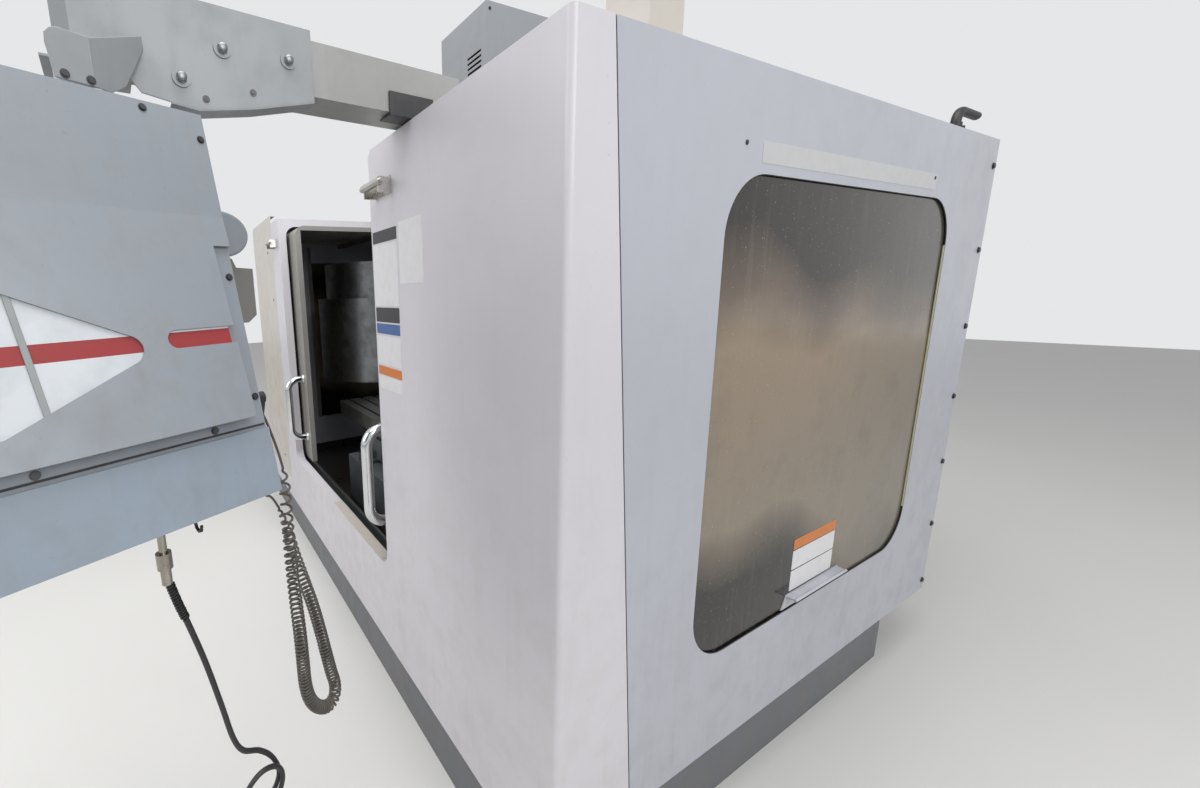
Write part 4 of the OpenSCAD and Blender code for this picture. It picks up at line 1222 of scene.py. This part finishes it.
@dataclass
class Fasteners:
    """Row of screws made by Geometry Nodes: one head with its washer on each point, all facing one way."""

    name: str
    body: Body
    slot: str
    head_r: float
    head_h: float
    washer_r: float
    sides: int = 18
    washer_h: float = 2.4
    washer_sides: int = 18

    def tree(self) -> Tree:
        """Build the node tree.

        Returns:
            A tree that puts a head and a washer on each point.
        """
        tree = bpy.data.node_groups.new(self.name, "GeometryNodeTree")
        face = tree.interface
        face.new_socket("Geometry", in_out="INPUT", socket_type="NodeSocketGeometry")
        for label in ("Head Radius", "Head Height", "Washer Radius", "Washer Height"):
            face.new_socket(label, in_out="INPUT", socket_type="NodeSocketFloat")
        face.new_socket("Facing", in_out="INPUT", socket_type="NodeSocketVector")
        face.new_socket("Geometry", in_out="OUTPUT", socket_type="NodeSocketGeometry")
        given = add(tree, "NodeGroupInput").outputs
        head = add(tree, "GeometryNodeMeshCylinder", {
            "Vertices": self.sides, "Radius": given["Head Radius"], "Depth": given["Head Height"]})
        washer = add(tree, "GeometryNodeMeshCylinder", {
            "Vertices": self.washer_sides, "Radius": given["Washer Radius"], "Depth": given["Washer Height"]})
        lift = add(tree, "ShaderNodeCombineXYZ", {"Z": given["Head Height"]})
        half = add(tree, "ShaderNodeVectorMath", (lift, (0.5, 0.5, 0.5)), operation="MULTIPLY")
        raised = add(tree, "GeometryNodeTransform", {"Geometry": head, "Translation": half})
        both = add(tree, "GeometryNodeJoinGeometry")
        for shape in (raised, washer):
            tree.links.new(shape.outputs[0], both.inputs[0])
        turn = add(tree, "FunctionNodeAlignRotationToVector", {"Vector": given["Facing"]}, axis="Z")
        spread = add(tree, "GeometryNodeInstanceOnPoints", {
            "Points": given["Geometry"], "Instance": both, "Rotation": turn})
        real = add(tree, "GeometryNodeRealizeInstances", (spread,))
        dressed = add(tree, "GeometryNodeSetMaterial", {"Geometry": real, "Material": material(self.slot)})
        add(tree, "NodeGroupOutput", (dressed,))
        return tree

    def build(self, points: Sequence[Point], facing: Point, place: Matrix = WORLD) -> None:
        """Build the row as a plain mesh.

        Args:
            points: Where the screws sit, in millimetres of the local frame.
            facing: Direction that the heads face, in that frame.
            place: The local frame.
        """
        mesh = bpy.data.meshes.new(self.name + "_points")
        mesh.from_pydata([place @ Vector(p) for p in points], [], [])
        holder = bpy.data.objects.new(mesh.name, mesh)
        bpy.context.scene.collection.objects.link(holder)
        tree = self.tree()
        modifier = holder.modifiers.new("heads", "NODES")
        modifier.node_group = tree
        values = {
            "Head Radius": self.head_r * MM, "Head Height": self.head_h * MM,
            "Washer Radius": self.washer_r * MM, "Washer Height": self.washer_h * MM,
            "Facing": (place.to_3x3() @ Vector(facing)).normalized()}
        for item in tree.interface.items_tree:
            if item.in_out == "INPUT" and item.name in values:
                modifier[item.identifier] = values[item.name]
        graph = bpy.context.evaluated_depsgraph_get()
        row = bpy.data.meshes.new_from_object(holder.evaluated_get(graph))
        row.name = self.name
        bpy.data.objects.remove(holder)
        hand_over(bpy.data.objects.new(self.name, row), self.body)


@dataclass
class FrontDress:
    """Bare plates on the front sheet, and the left end plate's screws."""

    face_y: float = corners("front_panel")[0].y
    film: Span = (0.2, -0.6)
    plate: Rect = (679, 1164, 850, 1664)
    sheet: Rect = (864, 1492, 1002, 1662)
    fields: tuple[tuple[float, float, str], ...] = (
        (0.0, 0.08, "label_white"), (0.09, 0.147, "label_orange"), (0.16, 0.34, "label_white"),
        (0.356, 0.42, "label_blue"), (0.43, 0.52, "label_black"), (0.53, 0.90, "label_white"),
        (0.91, 0.98, "label_black"))
    screws_xz: tuple[Point, ...] = ((-1008, 1739), (-948, 1449), (-1008, 420))

    def build(self) -> None:
        """Build the column of fields, each between two shares of its height, the sheet and the screws."""
        x0, z0, x1, z1 = self.plate
        back, front = (self.face_y + depth for depth in self.film)
        piece = Piece("front_plates")
        for low, high, slot in self.fields:
            outline = rounded(x0, z0 + (z1 - z0) * low, x1, z0 + (z1 - z0) * high, 3, 3)
            piece.sheet(outline, front, back, slot, edge=0.2)
        piece.sheet(rounded(*self.sheet, 2, 3), front, back, "label_white", edge=0.2)
        piece.done(Body.MACHINE)
        row = Fasteners("left_plate_screws", Body.MACHINE, "zinc", head_r=6, head_h=4, washer_r=8, sides=16)
        row.build([(x, self.face_y, z) for x, z in self.screws_xz], (0, -1, 0))


@dataclass
class SideDress:
    """Screws, strip, gasket and seals of one side panel."""

    side: Side
    face_x: float = corners("side_panel_right")[1].x
    win_y: float = 19
    win_w: float = 1174
    win_h: float = 1150
    win_z: float = 538
    win_r: float = 135
    screws_yz: tuple[Point, ...] = (
        (905, 1812), (902, 1540), (904, 1279), (907, 1025), (910, 776), (909, 526), (912, 287))
    strip_yz: Rect = (-457, 1709, 459, 1753)
    rivets_yz: tuple[Point, ...] = ((-517, 1743), (445, 1742))
    rivet: tuple[Point, ...] = ((5, 0), (5, 1.4), (3.6, 2.2))
    seam_yz: tuple[Point, ...] = ((-907, 1893), (-835, 1069), (-763, 247))

    def out(self, depth: float = 0.0) -> float:
        """Give X at a depth over the panel's face, below it where the depth is negative."""
        return self.side.value * (self.face_x + depth)

    def screws(self) -> None:
        """Build the dark screws along the rear edge."""
        name = f"side_screws_{self.side.word}"
        row = Fasteners(name, Body.MACHINE, "screw", head_r=8, head_h=5, washer_r=11)
        row.build([(self.out(), y, z) for y, z in self.screws_yz], (self.side.value, 0, 0))

    def strip(self) -> None:
        """Build the pale strip and the two dots above the window."""
        piece = Piece(f"side_strip_{self.side.word}")
        low, high = sorted((self.out(-0.2), self.out(0.6)))
        piece.sheet(rounded(*self.strip_yz, 3, 3), low, high, "label_pale", Across.X, edge=0.2)
        for y, z in self.rivets_yz:
            piece.lathe(self.rivet, (self.out(), y, z), (self.side.value, 0, 0), "screw", 16)
        piece.done(Body.MACHINE)

    def gasket(self) -> None:
        """Build the rubber edge round the window opening and the aged sealant on its rear edge."""
        front, rear = self.win_y - self.win_w / 2, self.win_y + self.win_w / 2
        top = self.win_z + self.win_h
        loop = rounded(front, self.win_z, rear, top, self.win_r, 10)
        piece = Piece(f"side_gasket_{self.side.word}")
        piece.rod([(self.out(-2), y, z) for y, z in loop], 1.8, "gasket", closed=True)
        straight = (self.win_z + self.win_r, top - self.win_r)
        piece.rod([(self.out(-3), rear - 3, z) for z in straight], 2.6, "seal")
        piece.done(Body.MACHINE)

    def seam(self) -> None:
        """Build the dark sealant line where the side panel meets the front sheet's return."""
        piece = Piece(f"side_seam_{self.side.word}")
        piece.rod([(self.out(-0.7), y, z) for y, z in self.seam_yz], 1.3, "gasket", 4)
        piece.done(Body.MACHINE)

    def build(self) -> None:
        """Build all."""
        self.screws()
        self.strip()
        self.gasket()
        self.seam()


@dataclass
class WindowDress:
    """Bare plate on one raised window, in three fields."""

    side: Side
    face_x: float = corners("window_right_pane")[1].x
    film: float = 0.8
    plate_y: Span = (-114, 124)
    fields: tuple[tuple[float, float, str], ...] = (
        (717, 748, "label_orange"), (655, 713, "label_white"), (589, 651, "label_white"))

    def build(self) -> None:
        """Build the plate's fields."""
        piece = Piece(f"window_plate_{self.side.word}")
        low, high = sorted((self.side.value * self.face_x, self.side.value * (self.face_x + self.film)))
        front, rear = self.plate_y
        for z0, z1, slot in self.fields:
            piece.sheet(rounded(front, z0, rear, z1, 3, 3), low, high, slot, Across.X, edge=0.2)
        piece.done(Body[f"WINDOW_{self.side.name}"])


@dataclass
class DoorDress:
    """Gasket round one door's window, whose pane overlaps the opening, and the collars of its handle."""

    side: Side
    overlap: float = 20
    corner_r: float = 60
    rubber_r: float = 4
    tube_r: float = 20
    collar: tuple[Point, ...] = ((28, 0), (28, 3), (25, 6), (20.6, 8), (20.6, 9))

    def build(self) -> None:
        """Build the gasket and the collars."""
        word = self.side.word
        body = Body[f"DOOR_{self.side.name}"]
        face_y = corners(f"door_{word}_frame")[0].y
        low, high = corners(f"door_{word}_pane")
        loop = rounded(low.x + self.overlap, low.z + self.overlap, high.x - self.overlap,
                       high.z - self.overlap, self.corner_r, 8)
        gasket = Piece(f"door_gasket_{word}")
        gasket.rod([(x, face_y + 1, z) for x, z in loop], self.rubber_r, "gasket", closed=True)
        gasket.done(body)
        low, high = corners(f"door_{word}_handle")
        collars = Piece(f"door_handle_collars_{word}")
        for z in (low.z + self.tube_r, high.z - self.tube_r):
            collars.lathe(self.collar, ((low.x + high.x) / 2, face_y, z), (0, -1, 0), "handle_chrome")
        collars.done(body)


@dataclass
class PendantBack:
    """Sloping rear of the pendant: screws, the booklet's binder rail, the slit, a hook, the side forms."""

    width: float = 460
    screws_at: tuple[Point, ...] = (
        (10.5, 0, -315), (9.5, 0, -549), (100, 0, -595), (360, 0, -595), (106, 4, -15), (354, 4, -15),
        (11, 4, -52), (450, 0, -315), (450, 0, -549), (449, 4, -52))
    rail_xz: tuple[Point, ...] = ((331, -320), (340, -320), (355, -138), (346, -138))
    rail_y: Span = (-4.3, -1.6)
    slit_z: Span = (-606, -602.4)
    hook_x: float = 150
    hook_yz: tuple[Point, ...] = (
        (120, -721), (120, -740), (124, -750), (133, -754), (142, -750), (145, -740))
    grip_centre: Span = (-28, -216)
    grip_r: Span = (60, 46)
    grip_y: Span = (-62, -14)
    flange_xz: tuple[Point, ...] = (
        (-0.5, -402), (-82, -402), (-103, -386), (-103, -284), (-64, -282), (-56, -264), (-0.5, -240))
    flange_y: Span = (-40, -36)

    def rear(self) -> None:
        """Build the screws of the frame strip and the top edge, the binder rail and a black block in the
        slit, painted shade of the gap.
        """
        row = Fasteners("pendant_screws", Body.PENDANT, "screw", head_r=5, head_h=3.4, washer_r=7)
        row.build(self.screws_at, (0, 1, 0), PENDANT_REAR)
        rail = Piece("booklet_rail", POCKET)
        rail.sheet(self.rail_xz, *self.rail_y, "rail_grey", edge=0.8)
        rail.done(Body.PENDANT)
        # A black block in the slit: painted shade of the gap between the frame strip and the lower cover.
        slit = Piece("pendant_slit", PENDANT_REAR)
        slit.block((3, 0.2, self.slit_z[0]), (self.width - 3, 1.6, self.slit_z[1]), "gasket", 0.3)
        slit.done(Body.PENDANT)

    def hook(self) -> None:
        """Build the small hook under the pendant."""
        piece = Piece("pendant_hook", PENDANT)
        piece.rod([(self.hook_x, y, z) for y, z in self.hook_yz], 3, "screw")
        piece.done(Body.PENDANT)

    def sides(self) -> None:
        """Build the round grip form and the flange on the machine's side of the housing."""
        (cx, cz), (rx, rz) = self.grip_centre, self.grip_r
        turn = [math.radians(t) for t in range(-90, 91, 10)]
        bow = [(cx - rx * math.cos(t), cz + rz * math.sin(t)) for t in turn]
        piece = Piece("pendant_side_forms", PENDANT)
        piece.sheet([(-0.5, cz - rz), *bow, (-0.5, cz + rz)], *self.grip_y, "pendant_paint", edge=5)
        piece.sheet(self.flange_xz, *self.flange_y, "channel_grey", edge=0.8)
        piece.done(Body.PENDANT)

    def build(self) -> None:
        """Build all."""
        self.rear()
        self.hook()
        self.sides()


@dataclass
class PendantFront:
    """Operator's side: screen frame, key fields and button collars."""

    face_y: float = -160
    bezel_t: float = 9
    panel_t: float = 1.2
    key_t: float = 1.3
    bezel: Rect = (58, -342, 402, -58)
    screen: Rect = (72, -328, 388, -72)
    panel: Rect = (14, -470, 340, -384)
    key: Rect = (150, -456, 174, -432)
    key_step: float = 30
    keys: int = 6
    buttons_xz: tuple[Point, ...] = ((50, -420), (100, -420), (40, -120), (40, -170), (425, -120))
    collar: tuple[Point, ...] = ((19, 0), (19, 2.4), (17.5, 4), (14, 4), (14, 0.2))

    def build(self) -> None:
        """Build the frame, the fields and the collars."""
        y = self.face_y
        bezel = Piece("pendant_bezel", PENDANT)
        bezel.sheet(rounded(*self.bezel, 14), y - self.bezel_t, y - 0.2, "knob_black",
                    holes=[rounded(*self.screen, 4)], edge=2.5)
        bezel.done(Body.PENDANT)
        fields = Piece("pendant_fields", PENDANT)
        fields.sheet(rounded(*self.panel, 6), y - self.panel_t, y - 0.2, "label_black", edge=0.3)
        foot = y - self.panel_t - 0.1
        x0, z0, x1, z1 = self.key
        for shift in (k * self.key_step for k in range(self.keys)):
            fields.sheet(rounded(x0 + shift, z0, x1 + shift, z1, 3), foot - self.key_t, foot, "keys_plastic",
                         edge=0.6)
        fields.done(Body.PENDANT)
        collars = Piece("pendant_collars", PENDANT)
        for x, z in self.buttons_xz:
            collars.lathe(self.collar, (x, foot, z), (0, -1, 0), "zinc")
        collars.done(Body.PENDANT)


@dataclass
class ArmDress:
    """Lips, screws and the folded hanger of the pendant arm, and the bracket at its root."""

    face_x: float = 59
    top_lip: tuple[Point, Point] = ((30, -788, 129), (58.8, -346, 132))
    end_lip_xy: tuple[Point, ...] = ((59, -790), (56, -790), (37, -814), (39.5, -816))
    end_lip_z: Span = (26, 131)
    low_lips_yz: tuple[tuple[Point, ...], ...] = (
        ((-345, -12), (-480, -46), (-480, -49), (-345, -15)),
        ((-480, -46), (-590, -66), (-640, -60), (-640, -63), (-590, -69), (-480, -49)))
    low_lips_x: Span = (10, 58.8)
    screws_yz: tuple[Point, ...] = ((-576, -45), (-481, -17))
    bolts_yz: tuple[Point, ...] = ((-536, 54), (-400, 60), (-618, -14))
    bolt_x: float = 69
    dome: tuple[Point, ...] = ((9, 0), (9, 0.6), (7.6, 1.8), (5, 2.8), (2, 3.2))
    fold: Point = (150, -767, 0)
    hanger_ends: tuple[Point, Point] = ((165, -819, 0), (62.5, -680, 0))
    hanger_z: Span = (-88.5, -16)
    sheet_t: float = 3
    outer_flap: tuple[Point, ...] = (
        (0, -88.5), (54, -88.5), (61, -40), (60, -27), (52, -18), (42, -14), (0, -15))
    inner_flap: tuple[Point, ...] = (
        (0, -88.5), (35, -85.5), (70, -62), (118, 12), (124, 22), (123, 43), (0, -16))
    root_blocks: tuple[tuple[Point, Point], ...] = (
        ((57, -150, -9), (62, -20, 46)), ((8, -150, -9), (57, -20, -4.5)))

    def lips(self) -> None:
        """Build the folded lips along the end plate's top, end and bottom."""
        piece = Piece("arm_plate_lips", ARM)
        piece.block(*self.top_lip, "plate_paint", 0.8)
        piece.sheet(self.end_lip_xy, *self.end_lip_z, "plate_paint", Across.Z)
        for outline in self.low_lips_yz:
            piece.sheet(outline, *self.low_lips_x, "plate_paint", Across.X)
        piece.done(Body.ARM)

    def screws(self) -> None:
        """Build the small screws of the end plate and the domed bolt heads."""
        row = Fasteners("arm_plate_screws", Body.ARM, "screw", head_r=4, head_h=2.4, washer_r=7)
        row.build([(self.face_x, y, z) for y, z in self.screws_yz], (1, 0, 0), ARM)
        piece = Piece("arm_bolt_domes", ARM)
        for y, z in self.bolts_yz:
            piece.lathe(self.dome, (self.bolt_x, y, z), (1, 0, 0), "zinc")
        piece.done(Body.ARM)

    def hanger(self) -> None:
        """Build the folded hanger in front of the end plate, with its two screws."""
        fold, low, high = Vector(self.fold), *self.hanger_z
        out, back = ((Vector(end) - fold).normalized() for end in self.hanger_ends)
        piece = Piece("arm_hanger", ARM)
        for way, outline in ((out, self.outer_flap), (back, self.inner_flap)):
            turn = Matrix((way, (-way.y, way.x, 0), (0, 0, 1))).transposed().to_4x4()
            piece.sheet(outline, -self.sheet_t / 2, self.sheet_t / 2, "plate_paint", edge=0.9,
                        at=Matrix.Translation(fold) @ turn)
        piece.rod([fold + Vector((0, 0, low)), fold + Vector((0, 0, high))], 2.2, "plate_paint")
        piece.done(Body.ARM)
        facing = Vector((-out.y, out.x, 0))
        surface = fold + facing * self.sheet_t / 2 + Vector((0, 0, low + 8))
        row = Fasteners("arm_hanger_screws", Body.ARM, "screw", head_r=4.5, head_h=3, washer_r=7)
        row.build([surface + out * 40, surface + out * 4], facing, ARM)

    def root(self) -> None:
        """Build the black folded bracket at the arm's root."""
        piece = Piece("arm_root_bracket", ARM)
        for low, high in self.root_blocks:
            piece.block(low, high, "post_black", 1)
        piece.done(Body.ARM)

    def build(self) -> None:
        """Build all."""
        self.lips()
        self.screws()
        self.hanger()
        self.root()


@dataclass
class RearDress:
    """Screws, vent slats and lifting eyes of the sides that the photo doesn't show."""

    rear_y: float = corners("rear_panels")[1].y
    rear_z: tuple[float, ...] = (330, 850, 1370, 1850)
    full_columns_x: tuple[float, ...] = (-1460, -900, -330, 1460)
    cabinet_x: float = 330
    roof_z: float = corners("roof_right")[1].z
    roof_x: Span = (500, 1460)
    roof_y: tuple[float, ...] = (-340, 60, 460, 860)
    cover_x: float = corners("head_cover")[1].x
    cover_y: Span = (-180, 280)
    cover_z: tuple[float, ...] = (2110, 2400, 2690)
    slat: tuple[Point, Point] = ((1000, 1272.2, 500), (1180, 1276.5, 508))
    slats: int = 10
    slat_step: float = 18
    eye_x: float = 200
    eye_y: float = 675
    eye_z: float = corners("column")[1].z
    eye_foot: tuple[Point, ...] = ((17, 0), (17, 8), (11, 12), (9, 20))
    ring_r: float = 22
    ring_up: float = 42
    ring_steps: int = 16

    def screws(self) -> None:
        """Build the dark screws of the rear panels, the roofs and the head cover."""
        rear = [(x, self.rear_y, z) for x in self.full_columns_x for z in self.rear_z]
        over_cabinet = (self.cabinet_x, self.rear_y, self.rear_z[-1])
        roofs = [(side.value * x, y, self.roof_z) for side in Side for x in self.roof_x for y in self.roof_y]
        for name, places, facing in (("rear_screws", [*rear, over_cabinet], (0, 1, 0)),
                                     ("roof_screws", roofs, (0, 0, 1))):
            row = Fasteners(name, Body.MACHINE, "screw", head_r=7, head_h=4, washer_r=9)
            row.build(places, facing)
        for name, way in (("head_cover_screws", 1), ("head_cover_screws_left", -1)):
            row = Fasteners(name, Body.HEAD, "screw", head_r=5, head_h=3, washer_r=7)
            row.build([(way * self.cover_x, y, z) for y in self.cover_y for z in self.cover_z], (way, 0, 0))

    def cabinet(self) -> None:
        """Build the vent slats of the control cabinet's door."""
        vent = Piece("cabinet_vent")
        for k in range(self.slats):
            low, high = (Vector(corner) + Vector((0, 0, k * self.slat_step)) for corner in self.slat)
            vent.block(low, high, "channel_grey", 1.2)
        vent.done(Body.CABINET_DOOR)

    def eyes(self) -> None:
        """Build the lifting eyes on the column."""
        turn = [2 * math.pi * k / self.ring_steps for k in range(self.ring_steps)]
        middle = self.eye_z + self.ring_up
        piece = Piece("lifting_eyes")
        for x in (-self.eye_x, self.eye_x):
            piece.lathe(self.eye_foot, (x, self.eye_y, self.eye_z), (0, 0, 1), "post_black", 20)
            ring = [(x, self.eye_y + self.ring_r * math.sin(t), middle - self.ring_r * math.cos(t))
                    for t in turn]
            piece.rod(ring, 7, "post_black", closed=True)
        piece.done(Body.MACHINE)

    def build(self) -> None:
        """Build all."""
        self.screws()
        self.cabinet()
        self.eyes()


def main() -> None:
    """Build the classes in order and report each piece."""
    logging.basicConfig(level=logging.INFO, format="%(name)s: %(message)s")
    studio = Studio()
    studio.camera()
    HandwheelCord().build()
    AirHose().build()
    studio.build()
    dress_nodes()
    FrontDress().build()
    for side in Side:
        SideDress(side).build()
        WindowDress(side).build()
        DoorDress(side).build()
    PendantBack().build()
    PendantFront().build()
    ArmDress().build()
    RearDress().build()


if __name__ == "__main__":
    main()
